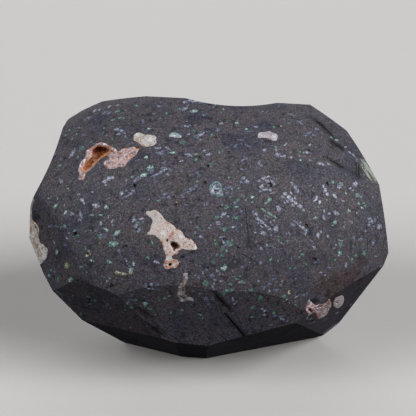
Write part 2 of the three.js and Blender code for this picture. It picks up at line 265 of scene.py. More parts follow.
def joined(pieces: list[Object]) -> Object:
    """Joins pieces into the first one."""
    bpy.ops.object.select_all(action="DESELECT")
    for piece in pieces:
        piece.select_set(True)
    bpy.context.view_layer.objects.active = pieces[0]
    bpy.ops.object.join()
    return pieces[0]


def drop_crumbs(piece: Object) -> None:
    """Keeps the one large body of a piece, without the crumbs that its cuts left loose."""
    with whole_mesh(piece):
        bpy.ops.mesh.separate(type="LOOSE")
    parts = sorted(bpy.context.selected_objects, key=lambda part: len(part.data.polygons))
    piece.data = parts[-1].data
    for part in parts:
        if part != piece:
            bpy.data.objects.remove(part)


def coordinates(piece: Object) -> np.ndarray:
    """The piece's points as an array of n by 3."""
    points = np.empty(len(piece.data.vertices) * 3, dtype=np.float32)
    piece.data.vertices.foreach_get("co", points)
    return points.reshape(-1, 3)


def relief(piece: Object, kind: str, size: float, height: float, **texture: Any) -> None:
    """Displaces a piece along its normals by a solid noise.

    Args:
        piece: the mesh object.
        kind: the texture's type.
        size: the noise's size in millimetres.
        height: the whole height of the relief in millimetres.
        **texture: further properties of the texture.
    """
    noise = bpy.data.textures.new(f"{piece.name}_{kind.lower()}", kind)
    noise.noise_scale = size * MM
    for name, value in texture.items():
        setattr(noise, name, value)
    finish_modifier(piece, "DISPLACE", texture=noise, texture_coords="LOCAL", strength=height * MM)
    bpy.data.textures.remove(noise)


@dataclass(frozen=True)
class Flat:
    """A ground flat: where it faces, in degrees, and its distance from the middle in millimetres.

    `ease` is how far its edge is rounded into the curved ground beside it, in millimetres.
    """

    bearing: float
    rise: float
    reach: float
    ease: float = 0.0


@dataclass(frozen=True)
class Hollow:
    """A wide roller's hollow: its lowest line runs through `at`, turned up from level by `turn`."""

    radius: float
    at: tuple[float, float, float]
    bearing: float
    rise: float
    turn: float


@dataclass(frozen=True)
class Kerf:
    """A cutting disc's slot, from one point on a side to another, and its width, in millimetres."""

    side: Side
    start: tuple[float, float]
    end: tuple[float, float]
    thick: float = 1.3


@dataclass(frozen=True)
class Pit:
    """An open gas hole: its place on a side and its radius, in millimetres."""

    side: Side
    at: tuple[float, float]
    radius: float


class Touch(Enum):
    """A patch laid at its own place on a piece: a channel of the attribute `paint`."""

    STAIN = 0
    # painted shade in the fillings' open holes and in the stone's recesses and slots; also a dark seam in the
    # striped filling and dark washes on the stone's other sides
    DARK = 1
    FROST = 2
    GREEN = 3


# Rows by touch: two places, half length, half width and turn. They are measured in millimetres
# square to a side or, in PATCHES, in pixels of the camera's frame.
Patches = dict[Touch, tuple[tuple[float, ...], ...]]


@dataclass(frozen=True)
class View:
    """The camera's place in millimetres, and the rays through the pixels of its square frame."""

    eye: Vector = Vector((1.510, -880.59, 474.48))
    target: Vector = Vector((1.510, 14.790, 112.722))
    lens: float = 100.0
    sensor: float = 36.0
    frame: int = 416

    @property
    def turn(self) -> Quaternion:
        """The camera's turn, with its own -Z along the view."""
        return (self.target - self.eye).to_track_quat("-Z", "Y")

    @property
    def pixels(self) -> float:
        """How many pixels a thing covers that is as wide as it is far off."""
        return self.frame * self.lens / self.sensor

    def ray(self, x: float, y: float) -> Vector:
        """The way that the ray through a pixel leaves the camera."""
        middle = self.frame / 2
        return (self.turn @ Vector((x - middle, middle - y, -self.pixels))).normalized()


VIEW = View()


@dataclass
class Skin:
    """The ground outside of the stone, which cuts and inclusions are laid on."""

    tree: BVHTree

    @classmethod
    def of(cls, piece: Object) -> "Skin":
        """The skin of a finished mesh."""
        mesh = piece.data
        points = [vertex.co.copy() for vertex in mesh.vertices]
        return cls(BVHTree.FromPolygons(points, [tuple(face.vertices) for face in mesh.polygons]))

    def under(self, side: Side, u: float, v: float) -> tuple[Vector, Vector]:
        """Where a line square to the side meets the skin.

        Args:
            side: the side it is laid out on.
            u: millimetres to the right of the middle.
            v: millimetres up from the middle.

        Returns:
            The point in metres and the skin's normal there.
        """
        start = side.at(u, v, 400.0)
        point, normal, _, _ = self.tree.ray_cast(start, -side.out)
        if point is None:
            point, normal, _, _ = self.tree.find_nearest(side.at(u, v, 60.0))
        return point, normal

    def seen(self, x: float, y: float) -> tuple[Vector, float]:
        """Where the ray through a pixel meets the skin, or the skin's nearest point where it passes by.

        Args:
            x: the pixel across the camera's frame.
            y: the pixel down the camera's frame.

        Returns:
            The point, from the middle of the stone, and the size of a pixel there, both in millimetres.
        """
        ray = VIEW.ray(x, y)
        point, _, _, _ = self.tree.ray_cast(VIEW.eye * MM, ray)
        if point is None:
            point, _, _, _ = self.tree.find_nearest((VIEW.eye + ray * (MIDDLE - VIEW.eye).dot(ray)) * MM)
        return point / MM - MIDDLE, (point / MM - VIEW.eye).length / VIEW.pixels

    def measured(self, marks: Iterable[tuple[float, ...]]) -> Iterator[tuple[float, ...]]:
        """Turns marks read in the camera's frame into millimetres, square to the front.

        Args:
            marks: pixel across and down, half length and half width in pixels, and the turn in degrees.

        Yields:
            Right of and up from the middle, half length, half width, and the turn.
        """
        for x, y, half_long, half_wide, turn in marks:
            place, pixel = self.seen(x, y)
            if half_wide > half_long:
                half_long, half_wide, turn = half_wide, half_long, turn + 90
            u, v = (place.dot(way) for way in (Side.FRONT.right, Side.FRONT.up))
            yield u, v, half_long * pixel, half_wide * pixel, turn

    def ruled(self, lines: Iterable[tuple[float, ...]]) -> Iterator[tuple[float, ...]]:
        """Turns lines read in the camera's frame into the same five measures.

        Args:
            lines: the pixels of both ends, and half the width in pixels.

        Yields:
            Right of and up from the middle, half length, half width, and the turn.
        """
        for x1, y1, x2, y2, half_wide in lines:
            (start, pixel), (end, _) = self.seen(x1, y1), self.seen(x2, y2)
            run = end - start
            middle = (start + end) / 2
            across, upward, u, v = (each.dot(way) for each in (run, middle)
                                    for way in (Side.FRONT.right, Side.FRONT.up))
            yield u, v, run.length / 2, half_wide * pixel, math.degrees(math.atan2(upward, across))

    def patches(self, node: str) -> Patches:
        """The patches of one piece in front, measured on the skin."""
        return {touch: tuple(self.measured(rows)) for touch, rows in PATCHES.get(node, {}).items()}


@dataclass
class Lump:
    """The stone as ground, before any pocket, slot or pit. Its flats and hollows are the CAD part's."""

    half: tuple[float, float, float] = (181.0, 120.0, 129.5)
    offset: tuple[float, float, float] = (-3.0, 0.0, -6.0)
    cell: float = 1.9
    meridians: int = 440
    rings: int = 230
    allowance: float = 0.5
    plate_margin: float = 22.0
    plate_depth: float = 4.0
    roller_length: float = 300.0
    on_plane: float = 0.02
    ease_reach: float = 1.4
    ease_passes: float = 2.5
    flats: tuple[Flat, ...] = (
        Flat(-27, -30, 117), Flat(-4, -17, 114), Flat(5, -16, 116), Flat(-26, -50, 107),
        Flat(-9, -52, 106.5), Flat(21, -51, 104), Flat(43, -37, 119), Flat(-49, 0, 141, 9),
        Flat(-95, 21.5, 139, 9), Flat(-89, 3, 142, 9), Flat(-87, -35, 115), Flat(-85, -23, 128),
        Flat(94, 7, 135), Flat(83, -21, 135), Flat(106, 23, 127), Flat(119, 45, 125),
        Flat(170, 73, 106), Flat(-177, 62, 98), Flat(-146, 43, 108), Flat(142, 6, 113),
        Flat(-178, 9, 96), Flat(-136, -4, 114), Flat(173, -31, 102), Flat(-131, -41, 111),
        Flat(131, -38, 110), Flat(0, -90, 98),
    )
    hollows: tuple[Hollow, ...] = (
        Hollow(160, (27, 0, 203.2), 180, 73, 90),
        Hollow(190, (-127.8, 0, 155), -91.5, 24, 22),
    )

    def build(self) -> Object:
        """Grinds the lump from an ellipsoid: roughly first, then each flat to its true reach.

        Returns:
            The closed stone, with cells of about `cell` millimetres all over.
        """
        bpy.ops.object.select_all(action="DESELECT")
        centre = (MIDDLE + Vector(self.offset)) * MM
        bpy.ops.mesh.primitive_uv_sphere_add(
            segments=self.meridians, ring_count=self.rings, radius=MM, location=centre
        )
        stone = bpy.context.object
        stone.name = "ground_basalt"
        stone.scale = self.half
        place(stone)
        with whole_mesh(stone):
            for flat in self.flats:
                self.rough_cut(flat)
        for flat in self.flats:
            carve(stone, self.plate(flat, coordinates(stone)))
        for hollow in self.hollows:
            carve(stone, self.roller(hollow))
        for flat in self.flats:
            if flat.ease:
                self.ease_edge(stone, flat)
        return stone

    def ease_edge(self, stone: Object, flat: Flat) -> None:
        """Rounds the edge between one flat and the curved ground off.

        Args:
            stone: the ground stone.
            flat: the flat.
        """
        points = coordinates(stone) / MM - np.array(MIDDLE)
        above = [points @ np.array(facing(each.bearing, each.rise)) - each.reach for each in self.flats]
        heights = np.stack(above, axis=1)
        own = np.abs(heights[:, self.flats.index(flat)]) < self.on_plane
        curved = np.abs(heights).min(axis=1) > self.on_plane
        pairs = np.empty(len(stone.data.edges) * 2, dtype=np.int32)
        stone.data.edges.foreach_get("vertices", pairs)
        ends = pairs.reshape(-1, 2)
        ends = np.concatenate([ends, ends[:, ::-1]])
        border = np.unique(ends[own[ends[:, 0]] & curved[ends[:, 1]], 0])
        if not len(border):
            return
        tree = KDTree(len(border))
        for index, point in enumerate(points[border]):
            tree.insert(point, index)
        tree.balance()
        group = stone.vertex_groups.new(name="eased")
        for index, point in enumerate(points):
            far = tree.find(point)[2]
            if far < flat.ease * self.ease_reach:
                group.add([index], min(1.0, self.ease_reach - far / flat.ease), "REPLACE")
        passes = round((flat.ease / self.cell) ** 2 * self.ease_passes)
        finish_modifier(stone, "SMOOTH", factor=0.5, iterations=passes, vertex_group="eased")
        stone.vertex_groups.clear()

    def rough_cut(self, flat: Flat) -> None:
        """Cuts most of one flat's waste off the mesh being edited."""
        out = facing(flat.bearing, flat.rise)
        level = (MIDDLE + out * (flat.reach + self.allowance)) * MM
        bpy.ops.mesh.select_all(action="SELECT")
        bpy.ops.mesh.bisect(plane_co=level, plane_no=out, use_fill=True, clear_outer=True)

    def plate(self, flat: Flat, points: np.ndarray) -> Object:
        """The grinding plate of one flat: an evenly divided face that lies on its true plane.

        Args:
            flat: the flat that it grinds.
            points: the points of the roughly cut stone, in metres.

        Returns:
            The closed plate, in its place.
        """
        out = facing(flat.bearing, flat.rise)
        heights = points @ np.array(out) / MM - MIDDLE.dot(out)
        face = points[heights > flat.reach + self.allowance - 0.05]
        low, high = face.min(axis=0), face.max(axis=0)
        centre = Vector((low + high) / 2)
        centre += out * (flat.reach * MM - (centre - MIDDLE * MM).dot(out))
        size = float(np.linalg.norm(face - np.array(centre), axis=1).max()) * 2 + self.plate_margin * MM
        cells = round(size / (self.cell * MM))
        bpy.ops.object.select_all(action="DESELECT")
        bpy.ops.mesh.primitive_grid_add(
            x_subdivisions=cells, y_subdivisions=cells, size=size, location=centre,
            rotation=out.to_track_quat("Z", "Y").to_euler(),
        )
        plate = bpy.context.object
        place(plate)
        with whole_mesh(plate):
            bpy.ops.mesh.extrude_region_move(TRANSFORM_OT_translate={"value": out * self.plate_depth * MM})
            bpy.ops.mesh.select_all(action="SELECT")
            bpy.ops.mesh.normals_make_consistent(inside=False)
        return plate

    def roller(self, hollow: Hollow) -> Object:
        """The roller that grinds one hollow, in its place."""
        out = facing(hollow.bearing, hollow.rise)
        level = Vector((0.0, 0.0, 1.0)).cross(out).normalized()
        axle = Matrix.Rotation(math.radians(hollow.turn), 3, out) @ level
        base = Vector((MIDDLE.x, MIDDLE.y, 0.0))
        centre = (base + Vector(hollow.at) + out * hollow.radius) * MM
        bpy.ops.object.select_all(action="DESELECT")
        bpy.ops.mesh.primitive_cylinder_add(
            vertices=round(2 * math.pi * hollow.radius / self.cell), radius=hollow.radius * MM,
            depth=self.roller_length * MM, location=centre, rotation=axle.to_track_quat("Z", "Y").to_euler(),
        )
        tool = bpy.context.object
        place(tool)
        edit(tool, "EDGE")
        for edge in tool.data.edges:
            ends = [tool.data.vertices[i].co for i in edge.vertices]
            edge.select = abs((ends[1] - ends[0]).dot(axle)) > self.roller_length / 2 * MM
        bpy.ops.object.mode_set(mode="EDIT")
        bpy.ops.mesh.subdivide(number_cuts=round(self.roller_length / self.cell))
        bpy.ops.object.mode_set(mode="OBJECT")
        return tool


@dataclass
class Cuts:
    """The disc slots and the open gas holes of the stone, near to the CAD part's."""

    disc_radius: float = 57.0
    # The painted shade along each thick slot: its half length as a share of the slot's, and its half width in
    # mm.
    slot_shade_long: float = 0.55
    slot_shade_wide: float = 2.3
    kerfs: tuple[Kerf, ...] = (
        Kerf(Side.FRONT, (82.5, 85.5), (98, 70.5)),
        Kerf(Side.FRONT, (93, 68), (105.5, 60.5)),
        Kerf(Side.FRONT, (89, 54.5), (103.5, 46), 1.5),
        Kerf(Side.FRONT, (115.5, 50), (115.5, 38)),
        Kerf(Side.FRONT, (27.5, 18), (30, -4), 0.4),
        Kerf(Side.FRONT, (21.5, -15.5), (37, -24.5), 0.5),
        Kerf(Side.FRONT, (120.5, 6), (122, -18), 0.4),
        Kerf(Side.FRONT_LOWER, (4, 33.5), (17.5, 14.5)),
        Kerf(Side.FRONT_LOWER, (12.5, 12.5), (31.5, -19.5)),
        Kerf(Side.FRONT_LOWER, (-54, 14.5), (-40, 2)),
        Kerf(Side.FRONT_LOWER, (-48, -0.5), (-34, -15)),
        Kerf(Side.BACK, (-30, 34), (-4, 12)),
        Kerf(Side.BACK, (38, -6), (62, -24)),
        Kerf(Side.BACK_RIGHT, (-22, 4), (-2, 26)),
    )
    pits: tuple[Pit, ...] = (
        Pit(Side.FRONT, (46.5, 33), 1.9), Pit(Side.FRONT, (73.5, 2.5), 1.8),
        Pit(Side.FRONT, (-54, 32.5), 1.5), Pit(Side.FRONT, (-2, 34.5), 1.5),
        Pit(Side.FRONT, (0.5, 47), 1.3), Pit(Side.FRONT, (-99, -4), 2.2),
        Pit(Side.FRONT, (-89, -19), 1.7), Pit(Side.FRONT, (-72, -41.5), 1.4),
        Pit(Side.FRONT, (12, -7.5), 1.6), Pit(Side.FRONT, (80, -22.5), 1.7),
        Pit(Side.FRONT, (90, 34), 1.6), Pit(Side.FRONT, (77, 59.5), 1.4),
        Pit(Side.FRONT, (-15, 18.5), 1.5), Pit(Side.FRONT, (15.5, 57), 1.3),
        Pit(Side.FRONT, (58.5, 88), 1.3), Pit(Side.FRONT, (-60, -12.5), 1.3),
        Pit(Side.FRONT_LOWER, (-43, 34.5), 2), Pit(Side.FRONT_LOWER, (44, 9.5), 1.8),
        Pit(Side.FRONT_LOWER, (-90.5, 5), 1.6), Pit(Side.FRONT_LOWER, (-5.5, 10.5), 1.8),
        Pit(Side.RIGHT, (22, 8), 2), Pit(Side.RIGHT, (34, -18), 1.6),
        Pit(Side.BACK, (-54, -12), 2.1), Pit(Side.BACK, (12, 40), 1.7),
        Pit(Side.BACK, (58, 22), 1.5), Pit(Side.BACK_LEFT, (-14, 18), 1.9),
        Pit(Side.BACK_LEFT, (10, 26), 1.5),
    )

    def slot(self, kerf: Kerf, skin: Skin) -> Object:
        """The disc that cuts one slot, in its place.

        Args:
            kerf: where the slot starts and ends.
            skin: the ground outside it is cut into.

        Returns:
            The cutter.
        """
        start, _ = skin.under(kerf.side, *kerf.start)
        end, _ = skin.under(kerf.side, *kerf.end)
        _, normal = skin.under(kerf.side, *((a + b) / 2 for a, b in zip(kerf.start, kerf.end)))
        chord = end - start
        axle = chord.cross(normal).normalized()
        lift = axle.cross(chord).normalized()
        raised = math.sqrt((self.disc_radius * MM) ** 2 - chord.length_squared / 4)
        bpy.ops.object.select_all(action="DESELECT")
        bpy.ops.mesh.primitive_cylinder_add(
            vertices=72, radius=self.disc_radius * MM, depth=kerf.thick * MM,
            location=(start + end) / 2 + lift * raised,
            rotation=axle.to_track_quat("Z", "Y").to_euler(),
        )
        tool = bpy.context.object
        place(tool)
        return tool

    def hole(self, pit: Pit, skin: Skin) -> Object:
        """The uneven ball that opens one gas hole, in its place."""
        centre, _ = skin.under(pit.side, *pit.at)
        bpy.ops.object.select_all(action="DESELECT")
        bpy.ops.mesh.primitive_ico_sphere_add(subdivisions=2, radius=pit.radius * MM, location=centre)
        tool = bpy.context.object
        place(tool)
        relief(tool, "CLOUDS", 1.6, 0.9)
        return tool

    def slot_shade(self, side: Side) -> Patches:
        """Painted shade: darker stone along the thick slots of a side."""
        rows = []
        for kerf in self.kerfs:
            if kerf.side is side and kerf.thick > 1:
                across, upward = (b - a for a, b in zip(kerf.start, kerf.end))
                turn = math.degrees(math.atan2(upward, across))
                rows.append((kerf.start[0] + across / 2, kerf.start[1] + upward / 2,
                             math.hypot(across, upward) * self.slot_shade_long, self.slot_shade_wide, turn))
        return {Touch.DARK: tuple(rows)}

    def cut(self, stone: Object, skin: Skin) -> None:
        """Cuts every slot and hole into the stone."""
        carve(stone, joined([self.slot(kerf, skin) for kerf in self.kerfs]))
        carve(stone, joined([self.hole(pit, skin) for pit in self.pits]))


# How far behind the middle a side's patches still reach, in millimetres.
PAINT_FLOOR = -8.0


def paint(piece: Object, laid: Iterable[tuple[Side, Patches]]) -> np.ndarray:
    """Writes the patches to a piece's points as the attribute `paint`.

    Args:
        piece: the mesh object.
        laid: sides, each with patches that are measured square to it.

    Returns:
        The weight of each touch at each point.
    """
    points = (coordinates(piece) / MM) - np.array(MIDDLE)
    weights = np.zeros((len(points), 4), dtype=np.float32)
    for side, patches in laid:
        across, upward, outward = (points @ np.array(way) for way in (side.right, side.up, side.out))
        for touch, rows in patches.items():
            for u, v, half_long, half_wide, turn in rows:
                angle = math.radians(turn)
                along = (across - u) * math.cos(angle) + (upward - v) * math.sin(angle)
                aside = (upward - v) * math.cos(angle) - (across - u) * math.sin(angle)
                near = np.clip(1.7 - 1.2 * np.hypot(along / half_long, aside / half_wide), 0, 1)
                weights[:, touch.value] = np.maximum(weights[:, touch.value], near * (outward > PAINT_FLOOR))
    layer = piece.data.attributes.new("paint", "FLOAT_COLOR", "POINT")
    layer.data.foreach_set("color", weights.ravel())
    return weights


@dataclass
class Filling:
    """One mineral filling, grown in a pocket of the stone from the floor of its CAD node."""

    node: str
    side: Side
    finish: str
    cell: float = 0.55
    pocket_cell: float = 1.3
    wander: float = 1.1
    grain: float = 0.25
    grain_size: float = 1.6
    swell: float = 0.25
    lowered: float = 0.22
    clear: float = 9.0
    level_play: float = 0.2
    hollow_least: float = 1.4
    hollow_clear: float = 24.0
    hollow_cell: float = 0.5
    fade_depth: float = 5.0
    sinks: tuple[tuple[Touch, float], ...] = ((Touch.DARK, 1.9),)

    def faces_towards(self, piece: Object, direction: Vector, least: float, top: float) -> int:
        """Selects the faces that look one way and lie no higher than a level.

        Args:
            piece: a merged copy of the node.
            direction: the way they look.
            least: the least cosine between the two.
            top: the highest they may lie along the side's outward direction, in metres.

        Returns:
            How many were selected.
        """
        edit(piece)
        for face in piece.data.polygons:
            face.select = face.normal.dot(direction) > least and face.center.dot(self.side.out) < top
        return sum(face.select for face in piece.data.polygons)

    def copy_of_node(self) -> Object:
        """A merged copy of the CAD node."""
        source = frame["nodes"][self.node]
        piece = source.copy()
        piece.data = source.data.copy()
        bpy.context.scene.collection.objects.link(piece)
        piece.parent = None
        piece.name = f"grown_{self.node}"
        piece.data.materials.clear()
        with whole_mesh(piece):
            bpy.ops.mesh.remove_doubles(threshold=0.005 * MM)
        return piece

    def bar(self, direction: Vector, top: float, length: float) -> Object | None:
        """A bar over the node's flat faces that look one way.

        Args:
            direction: the way the faces look.
            top: the highest they may lie along the side's outward direction, in metres.
            length: how far the bar reaches out, in metres.

        Returns:
            The closed bar, or None where the node has no such face.
        """
        piece = self.copy_of_node()
        if not self.faces_towards(piece, direction, 0.99999, top):
            bpy.data.objects.remove(piece)
            return None
        bpy.ops.object.mode_set(mode="EDIT")
        bpy.ops.mesh.select_all(action="INVERT")
        bpy.ops.mesh.delete(type="FACE")
        bpy.ops.mesh.select_all(action="SELECT")
        bpy.ops.mesh.dissolve_limited(angle_limit=math.radians(0.5))
        bpy.ops.mesh.extrude_region_move(TRANSFORM_OT_translate={"value": self.side.out * length})
        bpy.ops.mesh.select_all(action="SELECT")
        bpy.ops.mesh.normals_make_consistent(inside=False)
        bpy.ops.object.mode_set(mode="OBJECT")
        return piece

    def pocket(self) -> Object:
        """The pocket's shape, open to the air, with a wandering outline."""
        heights = coordinates(frame["nodes"][self.node]) @ np.array(self.side.out)
        floor, top = float(heights.min()), float(heights.max())
        shape = self.bar(-self.side.out, floor + self.level_play * MM, top - floor + self.clear * MM)
        finish_modifier(shape, "REMESH", mode="VOXEL", voxel_size=self.pocket_cell * MM)
        relief(shape, "CLOUDS", 2.4, self.wander, noise_depth=2)
        return shape

    def hollows(self) -> list[Object]:
        """The open hollows of the node, with rounded floors."""
        heights = coordinates(frame["nodes"][self.node]) @ np.array(self.side.out)
        top = float(heights.max()) - self.hollow_least * MM
        shape = self.bar(self.side.out, top, self.hollow_clear * MM)
        if shape is None:
            return []
        finish_modifier(shape, "REMESH", mode="VOXEL", voxel_size=self.hollow_cell * MM)
        finish_modifier(shape, "SMOOTH", factor=0.5, iterations=12)
        relief(shape, "CLOUDS", 2.0, 0.8, noise_depth=2)
        return [shape]

    def build(self, lump: Object, skin: Skin) -> tuple[Object, Object]:
        """Grows the filling.

        Args:
            lump: the stone as ground, before any pocket.
            skin: its ground outside.

        Returns:
            The filling and the tool that cuts its pocket.
        """
        pocket = self.pocket()
        piece = pocket.copy()
        piece.data = pocket.data.copy()
        bpy.context.scene.collection.objects.link(piece)
        piece.name = f"{self.node}_grown"
        face = lump.copy()
        face.data = lump.data.copy()
        bpy.context.scene.collection.objects.link(face)
        carve(piece, face, "INTERSECT")
        for hollow in self.hollows():
            carve(piece, hollow)
        finish_modifier(piece, "REMESH", mode="VOXEL", voxel_size=self.cell * MM)
        finish_modifier(piece, "DISPLACE", strength=self.swell * MM, mid_level=0.0)
        drop_crumbs(piece)
        self.settle(piece)
        self.open_up(piece, skin)
        relief(piece, "CLOUDS", self.grain_size, self.grain, noise_depth=2)
        return piece, pocket

    def open_up(self, piece: Object, skin: Skin) -> None:
        """Paints the filling, sinks its open places and writes each point's depth in mm.

        Args:
            piece: the filling in its place.
            skin: the ground outside of the stone.
        """
        weights = paint(piece, ((Side.FRONT, skin.patches(self.node)),
                                (self.side, SIDE_PATCHES.get(self.node, {}))))
        points = coordinates(piece)
        nearest = [skin.tree.find_nearest(Vector(point)) for point in points]
        depth = np.array([hit[3] for hit in nearest]) / MM
        normals = np.array([hit[1] for hit in nearest])
        shift = np.zeros(len(points))
        for touch, amount in self.sinks:
            shift = np.maximum(shift, weights[:, touch.value] * amount)
        shift *= np.clip(1.0 - depth / self.fade_depth, 0, 1)
        piece.data.vertices.foreach_set("co", (points - normals * (shift * MM)[:, None]).ravel())
        layer = piece.data.attributes.new("depth", "FLOAT", "POINT")
        layer.data.foreach_set("value", (depth + shift).astype(np.float32))

    def settle(self, piece: Object) -> None:
        """Sets the swollen filling back into the stone, flush with its ground outside."""
        with whole_mesh(piece):
            bpy.ops.transform.translate(value=self.side.out * -self.lowered * MM)


# Multiples of this share spread evenly over a range.
GOLDEN = 0.618


class Kind(Enum):
    """What a small inclusion is: a place in the finish's ramps."""

    WHITE = 0
    LILAC = 1
    GREEN = 2
    RIMMED = 3
    CREAM = 4
    RING = 5
    # painted shade: a small open pit drawn as a near-black spot
    PIT = 6
    BROWN = 7
    SCRATCH = 8
    GRAZE = 9


@dataclass(frozen=True)
class Grain:
    """A small inclusion: its middle, the two half axes it is measured in, and its kind."""

    centre: Vector
    along: Vector
    across: Vector
    half: tuple[float, float]
    kind: Kind


@dataclass
class Inclusions:
    """The small gas-hole fillings that are ground flush with the stone."""

    seed: int = 11
    finest: float = 0.6
    widest: float = 3.2
    ragged: float = 1.3
    nowhere: tuple[float, float, float] = (9.0, 9.0, 0.5)
    clusters: int = 420
    seen: float = 0.22
    sizes: tuple[int, ...] = (1, 1, 1, 1, 2, 2, 3, 4, 6, 9)
    mix: tuple[Kind, ...] = (
        Kind.WHITE, Kind.WHITE, Kind.WHITE, Kind.LILAC, Kind.LILAC, Kind.LILAC, Kind.LILAC,
        Kind.GREEN, Kind.GREEN, Kind.GREEN, Kind.RIMMED, Kind.RING, Kind.PIT, Kind.PIT, Kind.CREAM,
    )

    def lay(self, stone: Object, skin: Skin) -> None:
        """Writes each face's nearest inclusion to the attribute `grain`.

        The attribute holds a corner's place in the inclusion's own unit frame, and the kind.

        Args:
            stone: the mesh that carries the inclusions.
            skin: the ground outside they are laid on.
        """
        mesh = stone.data
        count = len(mesh.polygons)
        middles = np.empty(count * 3, dtype=np.float32)
        mesh.polygons.foreach_get("center", middles)
        tree = KDTree(count)
        for index, middle in enumerate(middles.reshape(-1, 3)):
            tree.insert(middle, index)
        tree.balance()
        owner = np.full(count, -1)
        best = np.full(count, self.widest)
        grains = [*self.placed(skin), *self.strewn(skin)]
        for number, grain in enumerate(grains):
            reach = (max(grain.half) * 2.0 + self.ragged) * MM
            for middle, index, _ in tree.find_range(grain.centre, reach):
                offset = (middle - grain.centre) / MM
                spot = math.hypot(
                    offset.dot(grain.along) / grain.half[0],
                    offset.dot(grain.across) / max(grain.half[1], self.finest),
                )
                if spot < best[index]:
                    best[index] = spot
                    owner[index] = number
        corner_face = np.repeat(np.arange(count), 3)
        corner_point = np.empty(count * 3, dtype=np.int32)
        mesh.loops.foreach_get("vertex_index", corner_point)
        held = owner[corner_face]
        offset = coordinates(stone)[corner_point] - np.array([g.centre for g in grains])[held]
        values = np.empty((count * 3, 3), dtype=np.float32)
        for axis, name in enumerate(("along", "across")):
            ways = np.array([getattr(g, name) / (g.half[axis] * MM) for g in grains])
            values[:, axis] = np.einsum("ij,ij->i", offset, ways[held])
        spread = np.array([g.kind.value + 0.1 + 0.8 * (n * GOLDEN % 1.0) for n, g in enumerate(grains)])
        values[:, 2] = spread[held]
        values[held < 0] = self.nowhere
        layer = mesh.attributes.new("grain", "FLOAT_VECTOR", "CORNER")
        layer.data.foreach_set("vector", values.ravel())

    def placed(self, skin: Skin) -> Iterator[Grain]:
        """The inclusions of the front, each at its own place."""
        side = Side.FRONT
        laid = [(kind, skin.measured(rows)) for kind, rows in GRAINS.items()]
        laid += [(kind, skin.ruled(rows)) for kind, rows in LINES.items()]
        for kind, rows in laid:
            for u, v, half_long, half_wide, turn in rows:
                centre, _ = skin.under(side, u, v)
                angle = math.radians(turn)
                along = side.right * math.cos(angle) + side.up * math.sin(angle)
                yield Grain(centre, along, side.out.cross(along), (half_long, half_wide), kind)

    def strewn(self, skin: Skin) -> Iterator[Grain]:
        """The inclusions of the other sides, in the same loose clusters."""
        chance = random.Random(self.seed)
        for _ in range(self.clusters):
            way = Vector((chance.gauss(0, 1), chance.gauss(0, 1), chance.gauss(0, 1))).normalized()
            centre, normal, _, _ = skin.tree.ray_cast(MIDDLE * MM + way * 0.4, -way)
            if normal.dot(Side.FRONT.out) > self.seen:
                continue
            along = normal.orthogonal().normalized()
            along.rotate(Matrix.Rotation(chance.uniform(0, math.pi), 3, normal))
            count = chance.choice(self.sizes)
            for _ in range(count):
                drift = along * chance.gauss(0, 0.9 * count)
                drift += normal.cross(along) * chance.gauss(0, 0.5 * count)
                spot, facing_out, _, _ = skin.tree.find_nearest(centre + drift * MM)
                lean = along - facing_out * along.dot(facing_out)
                lean.rotate(Matrix.Rotation(chance.gauss(0, 0.4), 3, facing_out))
                lean.normalize()
                long = chance.uniform(0.8, 2.4)
                half = (long, long * chance.uniform(0.35, 0.9))
                yield Grain(spot, lean, facing_out.cross(lean), half, chance.choice(self.mix))


@dataclass(frozen=True)
class Tone:
    """The light and dark colour of one kind of inclusion, and the colour of its border."""

    light: str
    dark: str
    border: str


